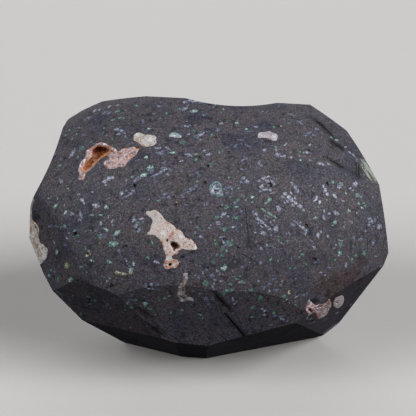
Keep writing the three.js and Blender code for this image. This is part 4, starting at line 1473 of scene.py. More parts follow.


# Inclusions of the front, read in the camera's frame: pixel across and down, half length and
# half width in pixels, and the turn in degrees.
GRAINS: dict[Kind, tuple[tuple[float, ...], ...]] = {
    Kind.WHITE: (
        (94.7, 110.6, 2, 1, 35), (99.4, 109.8, 2, 1, 25), (109, 106.9, 2.2, 1, 25),
        (79.4, 127.5, 1.3, 1, 0), (117, 129.5, 2.2, 1.6, 10), (121.5, 131, 2, 1.6, -10),
        (118.5, 134, 2.4, 1, 10), (124.5, 133, 1, 1, 0), (71.9, 153.8, 4.6, 1.5, 58),
        (104.5, 181.5, 2.6, 2, 20), (109, 178.5, 3, 2, 35), (113, 177, 1.6, 1.3, 20),
        (106, 185, 1.6, 1, 0), (122, 193, 2, 1.6, 0), (185, 108.8, 3, 1.4, 35), (194.4, 111, 3, 1.6, 5),
        (185, 102, 2.5, 1.2, 20), (190, 100.5, 2.2, 1.2, -20), (194, 101.5, 2.2, 1, 0),
        (185.6, 126, 3.6, 1.3, 0), (221, 123.5, 2, 1.7, 0), (256, 126.9, 2, 1, -10),
        (188.5, 134, 1.5, 1.2, 0), (200, 135, 2.6, 1.6, 10), (204, 133, 1.4, 1, 0),
        (158.5, 147.8, 3.8, 0.9, 0), (167.5, 148, 2.6, 1, -40), (189.4, 155, 3.4, 1.3, -15),
        (204.4, 150.4, 1.7, 1.2, 10), (209.4, 154.4, 2.8, 1.3, 5), (181, 161, 2.6, 0.8, 15),
        (161, 172, 2.2, 1.8, 30), (165, 170, 2.6, 1.6, 20), (157, 174, 2.4, 1, 25),
        (168, 174.5, 1.6, 1.2, 0), (163, 168, 2, 1, 10), (241.9, 169.4, 1.1, 0.9, 0),
        (243.5, 178, 1.7, 1.5, 0), (247, 181.5, 2, 1.6, -50), (228, 188, 1.3, 1, 0),
        (232, 189, 1.3, 0.9, 0), (277, 149.8, 1.6, 1.4, 0), (264.4, 150, 2, 1.5, 20),
        (277.5, 154.6, 2.6, 1.7, 0), (281.5, 156, 1.4, 1, -20), (284.4, 156, 1.2, 1, -30),
        (291, 157.5, 1.2, 1, 0), (310, 145, 1.4, 1, 20), (307, 152, 2, 1.4, 10),
        (319.5, 163, 1.8, 1.4, 0), (323, 164.5, 2, 1.4, -30), (328.8, 163.8, 1.5, 1.4, 0),
        (310, 160, 1.2, 0.9, 0), (336.9, 140, 2.2, 1.4, -10), (350, 152.5, 2, 1, -50),
        (353.5, 155.5, 2.2, 1, -50), (345.6, 146.9, 1.2, 0.9, 0), (285.6, 144.4, 2, 1.1, 40),
        (259, 163.5, 1.6, 1.3, -40), (261.5, 166, 1.6, 1.1, -40), (264, 178, 2, 1.4, 30),
        (267, 181, 2, 1.5, 0), (262, 186, 2.2, 1.6, 30), (265, 189.5, 2.4, 1.6, 0),
        (270, 190, 1.8, 1.2, 0), (272, 181, 1.2, 1, 0), (268, 176.5, 1.4, 1, 0), (285, 194, 2, 1.5, -45),
        (288.5, 197, 2.6, 1.7, -50), (292, 200, 2.4, 1.5, -45), (296, 203, 2.2, 1.4, -40),
        (300, 206, 2.6, 1.8, -40), (291, 193, 1.4, 1, -40), (295, 198, 1.4, 0.9, -40),
        (278.8, 208.8, 3, 1.8, -60), (316, 198.8, 3.4, 1.4, 55), (320, 202, 1.8, 1.4, 60),
        (325, 190, 2, 1.7, 80), (327, 194, 1.8, 1.4, 80), (323.5, 186, 1.6, 1.1, 60),
        (334.4, 195.6, 2.8, 1.3, -60), (355.6, 183.8, 2.5, 2.3, 0), (350.5, 188.5, 1.4, 1, 0),
        (353, 190.5, 1, 0.8, 0), (82.2, 200.2, 2, 2, 0), (84, 203, 1.6, 1.2, -40),
        (95.6, 205, 3.4, 1.4, -10), (96, 207, 2, 1, 0), (101, 223, 1.2, 2.2, 0), (276, 228.8, 2.2, 3, 0),
        (263, 233, 3, 1.8, -5), (258, 219, 2.6, 1.4, -35), (262, 222, 2.8, 1.4, -35),
        (266, 225.5, 2.6, 1.3, -35), (270, 229, 2, 1.2, -40), (261.5, 226.5, 1.8, 1, -35),
        (270.5, 222, 1.4, 1, 0), (233.8, 226.9, 3, 1, 10), (218, 223, 2, 1.7, 0), (211, 225, 1, 0.9, 0),
        (201, 236.5, 1.5, 2.2, 30), (222.5, 236.9, 2.8, 0.8, 12), (223.6, 241, 1.2, 2.6, 5),
        (156.9, 262, 3.4, 1.2, -10), (217.5, 270.5, 2, 1, -35), (219.6, 274, 1, 1.8, 10),
        (211.9, 275, 2, 1.7, -40), (214.6, 280, 1.4, 1.2, 0), (220.6, 281, 1.8, 1.2, 20),
        (203, 272.5, 1, 2.4, 35), (212.5, 286.5, 1, 1.6, 10), (269.4, 291, 1.2, 1, 0),
        (258.8, 280.6, 1.2, 1, 0), (255.5, 232.5, 1.2, 0.9, 0), (303, 227.5, 2, 1.5, -45),
        (306, 230.5, 2, 1.6, -45), (305, 234, 1.4, 1, -50), (300, 226, 1.4, 1, -40),
        (318, 235, 1.6, 2, 0), (321, 232, 0.9, 1.6, 0), (328, 236.3, 1.2, 1.2, 0),
        (369.5, 218.5, 1.6, 1.2, 0), (372, 221.5, 1.2, 2, 0), (369, 225, 1.6, 1.2, 0),
        (379.5, 226.5, 2.2, 2.4, 0), (314.4, 247.5, 2.6, 1.1, -40), (339.2, 254.5, 1.4, 2.2, 0),
        (340, 240.3, 3, 0.8, -12), (346, 265, 0.9, 2.6, -10), (350.8, 304.8, 1.6, 1.4, 40),
        (336.9, 313, 2.2, 1.2, 15), (321.5, 272.5, 2, 1, 0), (325, 275, 1.2, 0.8, 0),
        (107.5, 281, 1.4, 1, 0), (110, 278.5, 1.6, 1.1, 30), (134, 220, 2.6, 1.5, 50),
        (136, 226, 1.4, 2.6, -20), (139, 230, 1.4, 2.2, -25), (141, 219, 2.4, 0.9, 10),
        (151, 284.5, 1.8, 1.4, 50), (149, 288.5, 1.4, 1.8, 0), (153, 289, 1.4, 1, 0),
        (165, 298, 2, 1, 0), (169, 296, 2.2, 0.7, 12), (265, 311, 2.4, 2, 0), (262, 309, 1.4, 1.4, 0),
        (264, 315, 1.4, 1, 0), (296.5, 297, 2, 0.8, 30), (286, 300, 2.4, 0.7, 30), (289, 303, 0.8, 2, 0),
        (282, 319, 2.6, 1, -15), (311, 319, 2, 1, 20), (314, 322, 1.4, 0.9, 0), (362, 208, 1.4, 1.2, 0),
        (256.2, 214, 1.8, 1.6, -40), (224, 214, 2.4, 1.4, 30), (228, 216.5, 1.4, 1.2, 0),
        (221.5, 217, 1.4, 1, 0), (126.3, 260.5, 0.7, 2.2, 15), (128.5, 262.5, 1.6, 0.6, 40),
        (112.5, 221, 2, 0.9, 50), (66.9, 238, 1.2, 1.2, 0), (53.9, 242.2, 1, 2, 10),
        (305.6, 232.5, 1, 1, 0), (240, 282.2, 1.8, 1, -20), (232.8, 299, 1, 2.4, 25),
        (234.4, 303.8, 1.6, 1.2, 40), (267, 245, 1.1, 1.7, 0), (261, 248, 1.2, 1.8, 20),
    ),
    Kind.LILAC: (
        (105, 112.5, 3, 1.4, 20), (109.4, 113, 2.6, 1.2, 30), (88.8, 117.8, 2.6, 1.6, 15),
        (85, 119.5, 1.4, 1, 0), (117.5, 105, 1.8, 1, 10), (83.8, 135, 2, 1, 0),
        (125.5, 136.5, 1.4, 1.2, 0), (91, 142, 2.4, 0.8, 35), (61, 159, 1.8, 1.6, 20),
        (60.6, 181, 1.6, 2.4, 40), (78.8, 194.4, 1.6, 1, 0), (92.5, 192, 1.4, 1, 0),
        (126, 180, 1.6, 1.4, 0), (135.5, 180.5, 2.6, 1.6, 35), (139, 178, 2.4, 1.6, 20),
        (131, 193.5, 2.4, 1.8, 30), (133.5, 191, 2, 1.6, 0), (127, 196, 2, 1.2, 20),
        (126, 190.5, 1.6, 1, 30), (138, 160.5, 2, 0.9, 0), (160, 106, 2.6, 1.3, 5),
        (153.8, 113.8, 2, 1, 10), (143, 121, 1.4, 2, 20), (203.8, 114.8, 1.6, 1.2, 0),
        (188, 105.5, 1.8, 1, 30), (182, 126, 1.4, 1.2, 0), (190, 125.5, 1.4, 1, 0),
        (249.4, 131.3, 3.4, 0.8, -3), (218, 129.8, 2, 1.5, 0), (196, 136, 2.2, 1, 0),
        (208, 131.5, 2.2, 1, 10), (160.6, 153, 4, 1.6, 5), (163, 151, 3, 0.9, 20),
        (163.8, 162.5, 2.2, 1.1, 20), (138, 160, 2.6, 0.8, 0), (152, 171, 2.8, 1.6, 30),
        (170, 170, 1.8, 2.2, 40), (154, 175.5, 2.8, 0.9, 20), (240.6, 140, 2.8, 1, -5),
        (246.9, 145, 2.8, 1.1, -40), (235.6, 145.6, 2.6, 1, 40), (243, 159.6, 2.8, 1.3, 30),
        (197.5, 173, 2.2, 1.4, -30), (198, 176, 1, 1.6, 0), (191.9, 189.4, 3.6, 1.8, 35),
        (196, 186, 2.2, 1.4, 35), (188, 192, 1.8, 1.4, 20), (169.8, 183, 1.6, 1.3, 0),
        (241.5, 182, 1.6, 1.3, 0), (225.5, 189, 2.2, 1.7, 30), (231, 187, 1.8, 1.3, 0),
        (234, 188, 1.4, 1, 0), (227, 192.5, 2.4, 0.9, 15), (165, 194, 2.4, 1.4, 20),
        (169, 197, 1.6, 1.6, -40), (163, 197.5, 1.6, 0.9, 20), (182.5, 196, 2.4, 1.4, -35),
        (186.9, 204.4, 2.4, 1.6, -30), (206.9, 203.8, 1.6, 1.8, 0), (235.6, 202.5, 1.6, 1.6, 0),
        (196.9, 215, 2, 0.9, 20), (300, 122.5, 3, 1.2, -35), (292.5, 115, 3, 1.2, -15),
        (316.9, 129, 2, 1.2, -10), (309, 133, 2.6, 1.4, 20), (314, 135, 2.4, 1.4, -20),
        (306, 135.5, 1.8, 1, 0), (357, 160, 1.2, 3, 20), (260, 162, 1.6, 1, -40),
        (259.5, 181, 1.4, 1.6, 0), (274, 184, 1.2, 1.8, 0), (272, 193, 2, 1, 20),
        (260.5, 191.5, 1.6, 1, 0), (268.5, 185, 1.2, 0.9, 0), (283, 197, 2, 1.3, -30),
        (287, 201, 2.2, 1.3, -40), (293, 205, 2.2, 1.2, -40), (295, 187, 2.4, 1.5, -60),
        (292, 183.5, 1.6, 1.2, -40), (298, 191, 1.4, 1.6, 0), (284.5, 203, 1.4, 1, 0),
        (339, 187, 1.6, 2, 20), (336.9, 213, 3, 1.4, -35), (328.8, 213.5, 1.6, 1.2, 0),
        (268, 216.5, 2, 1, -30), (273, 225, 1.6, 1.1, 0), (258.5, 223, 1.4, 1, 0),
        (266, 219.5, 1.6, 1, -30), (274, 220.5, 1.6, 1.2, -40), (80.6, 214, 1.6, 3.4, 12),
        (80, 220, 1.6, 1.6, 0), (71.9, 213.8, 1.8, 1.6, 0), (50, 226, 2.8, 1.2, 20),
        (57, 226.5, 3, 1.2, -10), (61, 229, 1.6, 1, -30), (65.6, 245, 2, 1.8, 0),
        (96, 230.6, 1.2, 1.4, 0), (104.4, 236, 2.6, 1.4, 40), (114.4, 238.5, 1, 2.4, 15),
        (120.6, 216.9, 1, 2.6, 0), (118.8, 250.6, 1.6, 2, 0), (129.7, 266, 2.8, 1, -35),
        (56, 260, 2, 1, 0), (55, 272, 1.8, 1.4, -20), (86, 265, 1, 1, 0), (113, 225, 1.2, 0.9, 0),
        (79, 241.5, 1.2, 1, 0), (95, 271.5, 0.9, 2.4, 35), (104, 276.5, 2, 1.2, -20),
        (88, 296.9, 2.4, 1.2, 0), (70, 300, 2, 1, 0), (107.5, 304.4, 2, 2.6, -20),
        (110.5, 308, 1, 1.8, -20), (104, 301, 1.6, 1, 0), (127.5, 303, 2.4, 1.6, 40),
        (129.5, 299, 1.6, 1.2, 0), (125, 305.5, 1.6, 1, 20), (137, 222, 1.2, 1.2, 0),
        (133.5, 217.5, 1.8, 1.2, 10), (143, 222, 1, 2, -30), (142.5, 232, 1.4, 1, 0),
        (195.6, 232.5, 1.4, 1.2, 0), (225.5, 245.5, 1.4, 1.8, 0), (157.5, 284.5, 2, 1.2, 40),
        (158.5, 289.5, 1.4, 1.4, 0), (145.5, 285, 1.4, 2.4, 10), (144, 297, 1.2, 1.2, 0),
        (200, 294, 2.6, 1.6, 10), (206, 299, 3, 1.8, -10), (212.5, 298.8, 2.2, 1.6, 30),
        (209, 304, 2.4, 1.4, 0), (193, 291, 1.8, 1, 0), (206.5, 269.5, 1.4, 1.8, 30),
        (198.5, 277, 1.4, 1.8, 0), (205, 290, 1.4, 1, 0), (275, 316, 2, 1.2, 0),
        (281.5, 316.5, 2.8, 1.1, 0), (287, 321, 1.8, 0.9, 20), (271, 325, 2, 1, 0),
        (308.5, 319, 1.4, 1.2, 0), (326, 319, 2.4, 1.4, 20), (311, 323, 2.2, 0.9, 0),
        (292.8, 224.5, 2, 1.4, -30), (297, 223, 1.8, 1.1, -30), (294.5, 221, 1.4, 1, 0),
        (289, 233, 1.8, 1, -40), (281.5, 243, 3, 1, -25), (287, 233.5, 1.6, 1, 0),
        (301, 222.5, 1.2, 1, 0), (323.8, 217.5, 1, 2.6, 20), (336, 213, 2.6, 1.6, -35),
        (351.9, 222.5, 1.6, 1.4, 0), (360, 239.4, 2.2, 1.4, 30), (354, 237.5, 1.4, 1.2, 0),
        (373, 242.5, 1.6, 2.4, 0), (366, 231, 1.6, 1, 20), (333.8, 248, 1.6, 1.2, 0),
        (316, 262, 2.4, 1, 10), (330, 267.5, 3.2, 0.8, -5), (318, 260, 1.8, 1.2, 0),
        (370.5, 222, 2.6, 1.2, 0), (375, 220, 1.4, 2.2, 0), (373.5, 226, 1.6, 1, 0),
        (260.6, 262.5, 1.4, 1.8, 0), (274, 279, 2.6, 1, 15), (281, 285, 1.8, 1.6, 0),
        (276, 290, 3, 1.4, 10), (270, 284, 2, 1.2, -20), (264, 287, 1.8, 1, 0), (300, 251, 1.4, 1, 0),
        (271, 235, 1.4, 1, 0), (311.5, 241, 1.4, 1, 0), (235, 262, 1.8, 1, -30),
        (242.5, 267.5, 1.8, 1.2, -30), (250, 262.5, 1.2, 1, 0), (191, 222, 1.2, 1.2, 0),
        (180, 262, 1.2, 1, 0), (205.5, 240.5, 1.2, 1.2, 0), (216.9, 254.8, 1.6, 1.4, 0),
        (241, 211, 1.4, 1.2, 0), (248, 221, 1.2, 1.4, 0), (253, 212, 1.2, 1.6, 0), (232, 238, 1, 1, 0),
        (343, 201, 1.2, 1.2, 0), (303.5, 210, 1.6, 1, -30), (344, 227, 1.2, 1, 0), (357, 213, 1.2, 1, 0),
    ),
    Kind.GREEN: (
        (69.4, 130, 1.3, 1.1, 0), (71.9, 138.8, 1.2, 1.2, 0), (66, 135, 1.6, 0.8, 0),
        (76.5, 134, 1, 1, 0), (112.5, 120, 2, 1, 10), (60, 165.6, 1.8, 1.2, 20), (68, 188.8, 1, 1, 0),
        (148.8, 169.4, 2, 1.8, 20), (131.9, 176.9, 1.6, 0.9, 10), (57.5, 198.8, 0.9, 1.4, 0),
        (48.5, 198, 1, 0.9, 0), (136.9, 105.6, 1.5, 1.1, 0), (166.9, 113.5, 1.5, 1.2, 0),
        (179.4, 108.8, 1.8, 1.1, 0), (193, 130.6, 1.3, 1, 0), (211.9, 134.8, 1.5, 1.1, 0),
        (201, 131.5, 1.4, 0.9, 0), (197, 138, 1.4, 0.9, 0), (195.6, 155, 1.4, 1, 0),
        (196, 160, 1.2, 1.6, 0), (220, 152.5, 1.4, 1.1, 0), (213, 162, 1, 1, 0),
        (210, 165.5, 1.3, 1.3, 0), (197.5, 181, 1.3, 1.2, 0), (228.8, 177.5, 1.3, 1.1, 0),
        (239, 188, 1.6, 0.9, 0), (238, 200, 1.5, 1.3, 0), (236.9, 206.9, 2.6, 1, 0),
        (226.9, 207.5, 2.2, 1.4, 10), (222, 204.5, 1.4, 1, 0), (235.6, 217.5, 2.2, 1.6, 0),
        (216.9, 216.9, 1.5, 1.3, 0), (252, 202, 1.2, 1.1, 0), (231, 196.5, 1.6, 0.9, 20),
        (273.8, 126.9, 1.6, 1.1, 0), (289.4, 123, 1.4, 0.9, 0), (303.8, 152.5, 1, 1, 0),
        (300, 152, 1, 0.8, 0), (331, 137.5, 1.8, 1, -20), (276, 147, 1.2, 0.9, 0),
        (357.5, 195, 1.4, 1.8, 0), (361, 197, 1, 1.2, 0), (358.5, 203.5, 1.4, 1.4, 0),
        (364, 203, 1.2, 1, 0), (365.5, 205.5, 1.2, 0.9, 0), (349.4, 211, 1.4, 1.4, 0),
        (346, 193, 1, 1, 0), (101, 215, 1.6, 1, 0), (91.9, 215, 2.2, 1, 0), (64.4, 226, 1.4, 2.4, 20),
        (61, 227, 1, 1, 0), (76, 235.5, 2.6, 1, 15), (74.5, 230.5, 1.6, 1, 30), (100, 237, 1.8, 1.6, 20),
        (102, 234.5, 1.4, 1, 0), (85.6, 247.5, 0.9, 2, 0), (51, 270, 2, 1.1, -30),
        (58, 278.8, 1, 2.6, -15), (81, 266.9, 2.2, 1.2, 10), (91.9, 260.6, 2.8, 0.8, -15),
        (133, 263.8, 1.2, 2.6, 0), (90.6, 304, 2.2, 1, 15), (95, 300.6, 1.8, 1, 0),
        (73, 295.6, 1, 0.8, 0), (80.6, 314, 1.6, 1.4, 20), (135.6, 300, 1.8, 1.2, 0),
        (131, 307.5, 2.2, 1.1, 0), (125.6, 310, 1.8, 0.9, 0), (149.4, 308.8, 2.2, 1.2, -15),
        (145.2, 305, 2.2, 1.4, 0), (58.8, 292.5, 4.5, 0.8, -35), (158, 200.5, 2.2, 1, 10),
        (152.5, 243, 1, 2.8, 20), (148, 257.5, 1.6, 1.6, 0), (197.5, 227.5, 1.4, 1.1, 0),
        (224.4, 229.4, 2, 1.8, 0), (228, 242, 1.4, 2, 20), (231, 245, 2.2, 1, -20),
        (226.9, 251, 1.6, 1.4, 0), (222.5, 255.6, 2, 1, 0), (216, 244, 1.6, 1.8, 0),
        (232, 240, 1, 1.2, 0), (215, 240, 1, 1, 0), (230.6, 284, 2, 1.3, 10), (224, 293, 3, 1.6, 20),
        (228, 290.5, 2, 1.2, 0), (232.5, 290, 2, 1.4, 0), (242.5, 281.9, 2.2, 1.4, -30),
        (237, 279, 2.4, 0.8, -10), (250.6, 290, 2.2, 1.3, 0), (240, 276, 1, 1, 0),
        (234, 276.5, 1.8, 0.8, -15), (258.8, 300, 1, 2, 20), (252.5, 316.9, 1.8, 1.2, 0),
        (253, 307.5, 2.2, 2.2, 0), (269, 200, 2.4, 1.6, 60), (266, 203, 1.4, 1.4, 0),
        (264, 210, 2.6, 1.1, -35), (270, 214, 3.6, 1.4, -35), (275, 217, 2, 1, -20),
        (278.8, 240.6, 0.9, 2, 0), (271, 259.4, 2.4, 1.2, 45), (302.5, 254.4, 1.3, 1.4, 0),
        (299.4, 256.9, 1, 1, 0), (306, 263.8, 1.8, 1.1, -30), (295, 268, 1.2, 1, 0), (290, 268, 1, 1, 0),
        (324.4, 211, 0.9, 2, 0), (316, 218, 2, 1.3, 0), (335, 221.9, 2, 1.4, 20),
        (332.5, 225, 1.2, 1, 0), (338.9, 251.5, 1, 1.2, 0), (356, 255.6, 1.4, 1.2, 0),
        (364.4, 253, 1.6, 1.8, 0), (351.9, 259.4, 1.2, 1.6, 0), (335, 260, 1, 1.2, 0),
        (376, 256.5, 1.2, 1, 0), (348.8, 211, 1.4, 1.2, 0), (273.8, 312.5, 1.4, 1.8, 30),
        (284, 296.5, 2, 1.4, 20), (296, 305, 1.4, 1, 0), (261, 297.5, 1.8, 2.4, 20),
        (306.5, 293, 0.9, 1.2, 0), (171, 312.5, 1.8, 1.4, -30), (201, 315, 2.2, 1.2, -40),
        (203, 318, 1.4, 1, 0), (182, 310, 1.4, 1, 0), (244, 196, 1, 1, 0), (120, 118, 1.8, 1.2, 0),
        (117, 111.3, 2.6, 1, 15), (123.5, 118.2, 1.2, 1, 0), (94, 143.8, 0.9, 0.9, 0),
        (103, 132.5, 1, 1, 0), (112.5, 139, 1, 1.2, 0), (104, 128, 1.2, 0.8, 0), (88, 158.8, 1, 1, 0),
        (78, 157, 1, 1.4, 50),
    ),
    Kind.RIMMED: (
        (146.2, 157.3, 1.7, 1.5, 0), (148.8, 128.8, 1.8, 1, 10), (150.5, 167.5, 3, 1.8, 15),
        (237, 122.9, 2, 1.1, 0), (246, 129, 1.6, 1, 0), (252.5, 196.9, 1.7, 1.4, 0),
        (172.5, 152.5, 3.4, 1, 5), (143.5, 175, 3.6, 1.6, 20), (55.6, 205.6, 2.6, 1.2, 50),
        (65, 213, 2.8, 1.1, 45), (106, 207, 1.7, 1.6, 0), (106, 229.4, 3, 1.5, -35),
        (117.5, 232.5, 3.6, 1.9, 40), (113.8, 243.8, 4, 2.6, 5), (56.9, 251.9, 1.4, 3, -10),
        (70, 279.5, 2.6, 2, 50), (109.4, 261.9, 2.8, 1.5, -20), (131, 270, 2.6, 2.4, 60),
        (49, 275.6, 1.2, 1.6, 0), (224.4, 267.5, 2.8, 2.4, 30), (217.5, 271.9, 1.4, 1.4, 0),
        (300.6, 160, 1, 1, 0), (133.5, 264, 1.2, 2.4, 0), (224.4, 229.4, 1.8, 1.8, 0),
        (364.4, 253, 1.4, 1.6, 0), (339.4, 253.2, 1.7, 2.4, 0), (194.4, 111, 3, 1.6, 0),
        (145.6, 303.5, 2.2, 1.8, 20),
    ),
    Kind.CREAM: (
        (66.5, 265.4, 2.8, 2.8, 0), (123.8, 273.8, 3.4, 1.5, -10), (118, 272.6, 3.2, 1.6, -15),
        (281, 126, 1, 1, 0), (88, 254.8, 2.8, 1.4, 20), (89.2, 251.5, 1.2, 1.6, 0),
        (91.2, 260.4, 2.4, 0.9, -15), (288.8, 292.5, 1.2, 2.2, 0), (130.5, 272, 2.2, 2, 50),
        (197, 154, 1.4, 1, 0),
    ),
    Kind.RING: (
        (81.9, 148, 2, 1.7, 20), (182.5, 142, 2.2, 1.8, 0), (222.5, 248, 1.9, 2, 0),
        (205.6, 283, 2.2, 2.2, 0), (341, 243.8, 2.2, 2.4, 0), (138.8, 223, 1.8, 1.6, 0),
        (100, 236.9, 2, 1.8, 0), (230, 243.6, 2.2, 2.2, 0), (357.5, 195, 1.8, 2, 0),
        (271, 245, 1.6, 1.6, 0), (226, 207.5, 1.8, 1.5, 0), (165, 298.3, 1.8, 1.6, 0),
        (213, 262, 1.6, 1.4, 0), (341, 184, 1.7, 1.7, 0), (333, 182, 1.5, 1.5, 0),
    ),
    Kind.PIT: (
        (160.2, 105, 1.1, 1, 0), (108.8, 210.5, 1.2, 1.1, 0), (74.4, 204.4, 1, 1, 0),
        (132.6, 194.8, 1.4, 1.2, 0), (134.8, 185.6, 1.4, 1.2, 0), (200, 157.3, 1.4, 1.1, 0),
        (205.3, 182.7, 2, 1.3, -15), (208.6, 166, 1.2, 1.2, 0), (176, 158, 1.2, 1, 0),
        (181, 202.3, 1.1, 1, 0), (175.6, 204.4, 1.6, 1, 30), (266, 141, 1.2, 0.9, 0),
        (269.5, 141.2, 1.2, 0.9, 0), (277.5, 149.5, 0.9, 0.9, 0), (268, 189.2, 1, 0.8, 0),
        (271, 185.6, 1.8, 1.3, 0), (306.3, 150.2, 1, 0.9, 0), (326.9, 183.8, 2, 1, -35),
        (138.6, 223, 0.9, 0.8, 0), (48, 231.3, 1, 1, 0), (75.3, 234.2, 2.2, 1.2, 10),
        (88.3, 253.6, 1.1, 1, 0), (111.5, 286, 2, 1.2, 30), (78.2, 280.5, 0.9, 1, 0),
        (144, 300.8, 1.6, 1.2, 0), (149.6, 289.8, 1.8, 1.2, -40), (222, 247.5, 0.8, 0.9, 0),
        (89.5, 302.5, 1.4, 1.2, 0), (316.5, 260.5, 1.6, 1.4, -30), (312.8, 258.4, 1.4, 1, 0),
        (267.3, 317, 1.3, 1.2, 0), (235, 305, 1.2, 1, 0), (353.5, 231.5, 0.9, 0.9, 0),
        (271.3, 226.8, 2, 1.1, -40), (269, 224.5, 1.2, 0.8, 0), (244, 282, 0.8, 0.8, 0),
        (183.5, 126.5, 0.9, 0.8, 0), (205, 133.5, 1, 0.9, 0), (197, 133.5, 1, 0.8, 0),
        (166.5, 170.5, 1, 1.2, 0), (158.5, 169.5, 0.9, 0.8, 0), (161.5, 176.3, 1, 0.7, 0),
        (136, 181.5, 0.9, 0.8, 0), (207.5, 267.8, 1.4, 1, 0), (205.8, 283.2, 0.9, 1, 0),
        (91.3, 215.8, 0.8, 0.8, 0), (182.5, 256.5, 2, 1.4, 0), (199.5, 200, 1.4, 1, 0),
        (221, 206.5, 2, 0.8, 0), (217.5, 207.8, 1.4, 0.8, 0), (263.5, 225.5, 0.9, 0.8, 0),
        (286.5, 195.5, 0.8, 0.8, 0), (290.5, 202.5, 0.9, 0.8, 0), (259.8, 177.5, 0.8, 0.8, 0),
        (265.5, 185.5, 0.9, 0.8, 0), (248, 190, 1, 0.8, 0), (347, 246, 0.8, 0.8, 0),
        (123.5, 246.9, 1.1, 1, 0), (95.5, 227.2, 0.9, 0.9, 0), (146.5, 206.5, 0.8, 0.8, 0),
        (283, 114, 1.2, 0.9, 0), (263, 295, 0.8, 0.8, 0), (204, 169.5, 0.9, 0.7, 0),
        (187.5, 175.6, 1, 0.8, 0), (270.5, 247, 0.9, 0.9, 0), (237.8, 247.5, 1, 1.3, 0),
        (131, 120, 1.2, 0.6, 20),
    ),
    Kind.BROWN: (
        (228, 153, 1.4, 1.1, 0), (216, 137, 1.5, 1.1, 0), (176.9, 142.5, 1.5, 1, 0),
        (306.9, 225.4, 1.8, 1.5, 0), (304.3, 236, 1.2, 1.6, 0), (225.6, 176, 1, 0.8, 0),
        (132.2, 194.6, 1.1, 1, 0), (205, 182.5, 1.2, 0.9, 0), (270.8, 185.4, 1.1, 0.9, 0),
        (313.6, 259.3, 1, 1, 0), (311, 185.2, 1.8, 0.7, 15), (259.7, 280, 0.9, 0.9, 0),
    ),
}

# Grit marks and scratches of the front, read in the camera's frame: the pixels of the two ends,
# and half the width in pixels.
LINES: dict[Kind, tuple[tuple[float, ...], ...]] = {
    Kind.SCRATCH: (
        (216.3, 293.3, 226.3, 305.8, 0.5), (223.1, 298.3, 231.3, 310.8, 0.6), (233.8, 322, 246.3, 334.5, 0.5),
        (228, 315, 238, 328, 0.45), (221.3, 335.8, 230, 342, 0.45), (143.8, 308.3, 155, 323.3, 0.4),
        (146.3, 315.8, 167.5, 335.8, 0.4), (171.3, 335.8, 185, 344.5, 0.45), (155, 322, 164, 332, 0.35),
        (226, 303, 233, 318, 0.4), (325, 158, 338, 168, 0.45), (352, 216, 354, 228, 0.35),
        (230, 306, 240, 321, 0.35), (215, 302, 219, 315, 0.3),
    ),
    Kind.GRAZE: (
        (212.5, 314.5, 222.5, 332, 0.5), (217.5, 303, 222.5, 314.5, 0.5), (231, 312, 239, 304, 0.4),
        (135, 299.5, 143.8, 312, 0.4), (206, 300, 216, 330, 0.4), (200, 322, 214, 341, 0.4),
        (150, 300, 160, 318, 0.4), (138, 316, 150, 334, 0.4), (186, 312, 198, 334, 0.35),
        (243, 300, 250, 312, 0.35), (249, 196, 248.5, 232, 0.35), (357, 150, 358, 180, 0.3),
        *fan((78, 265, 79, 284, 0.4), (102, 269.8, 105.8, 280, 0.4), 9),
        *fan((58, 248, 62, 262, 0.35), (78, 259, 83, 269, 0.35), 6),
        *fan((234, 105.1, 267, 105.7, 0.35), (246, 108.3, 277, 109.5, 0.35), 3),
        *fan((112, 152, 140, 150, 0.35), (121, 164, 149, 163.5, 0.35), 4),
    ),
}
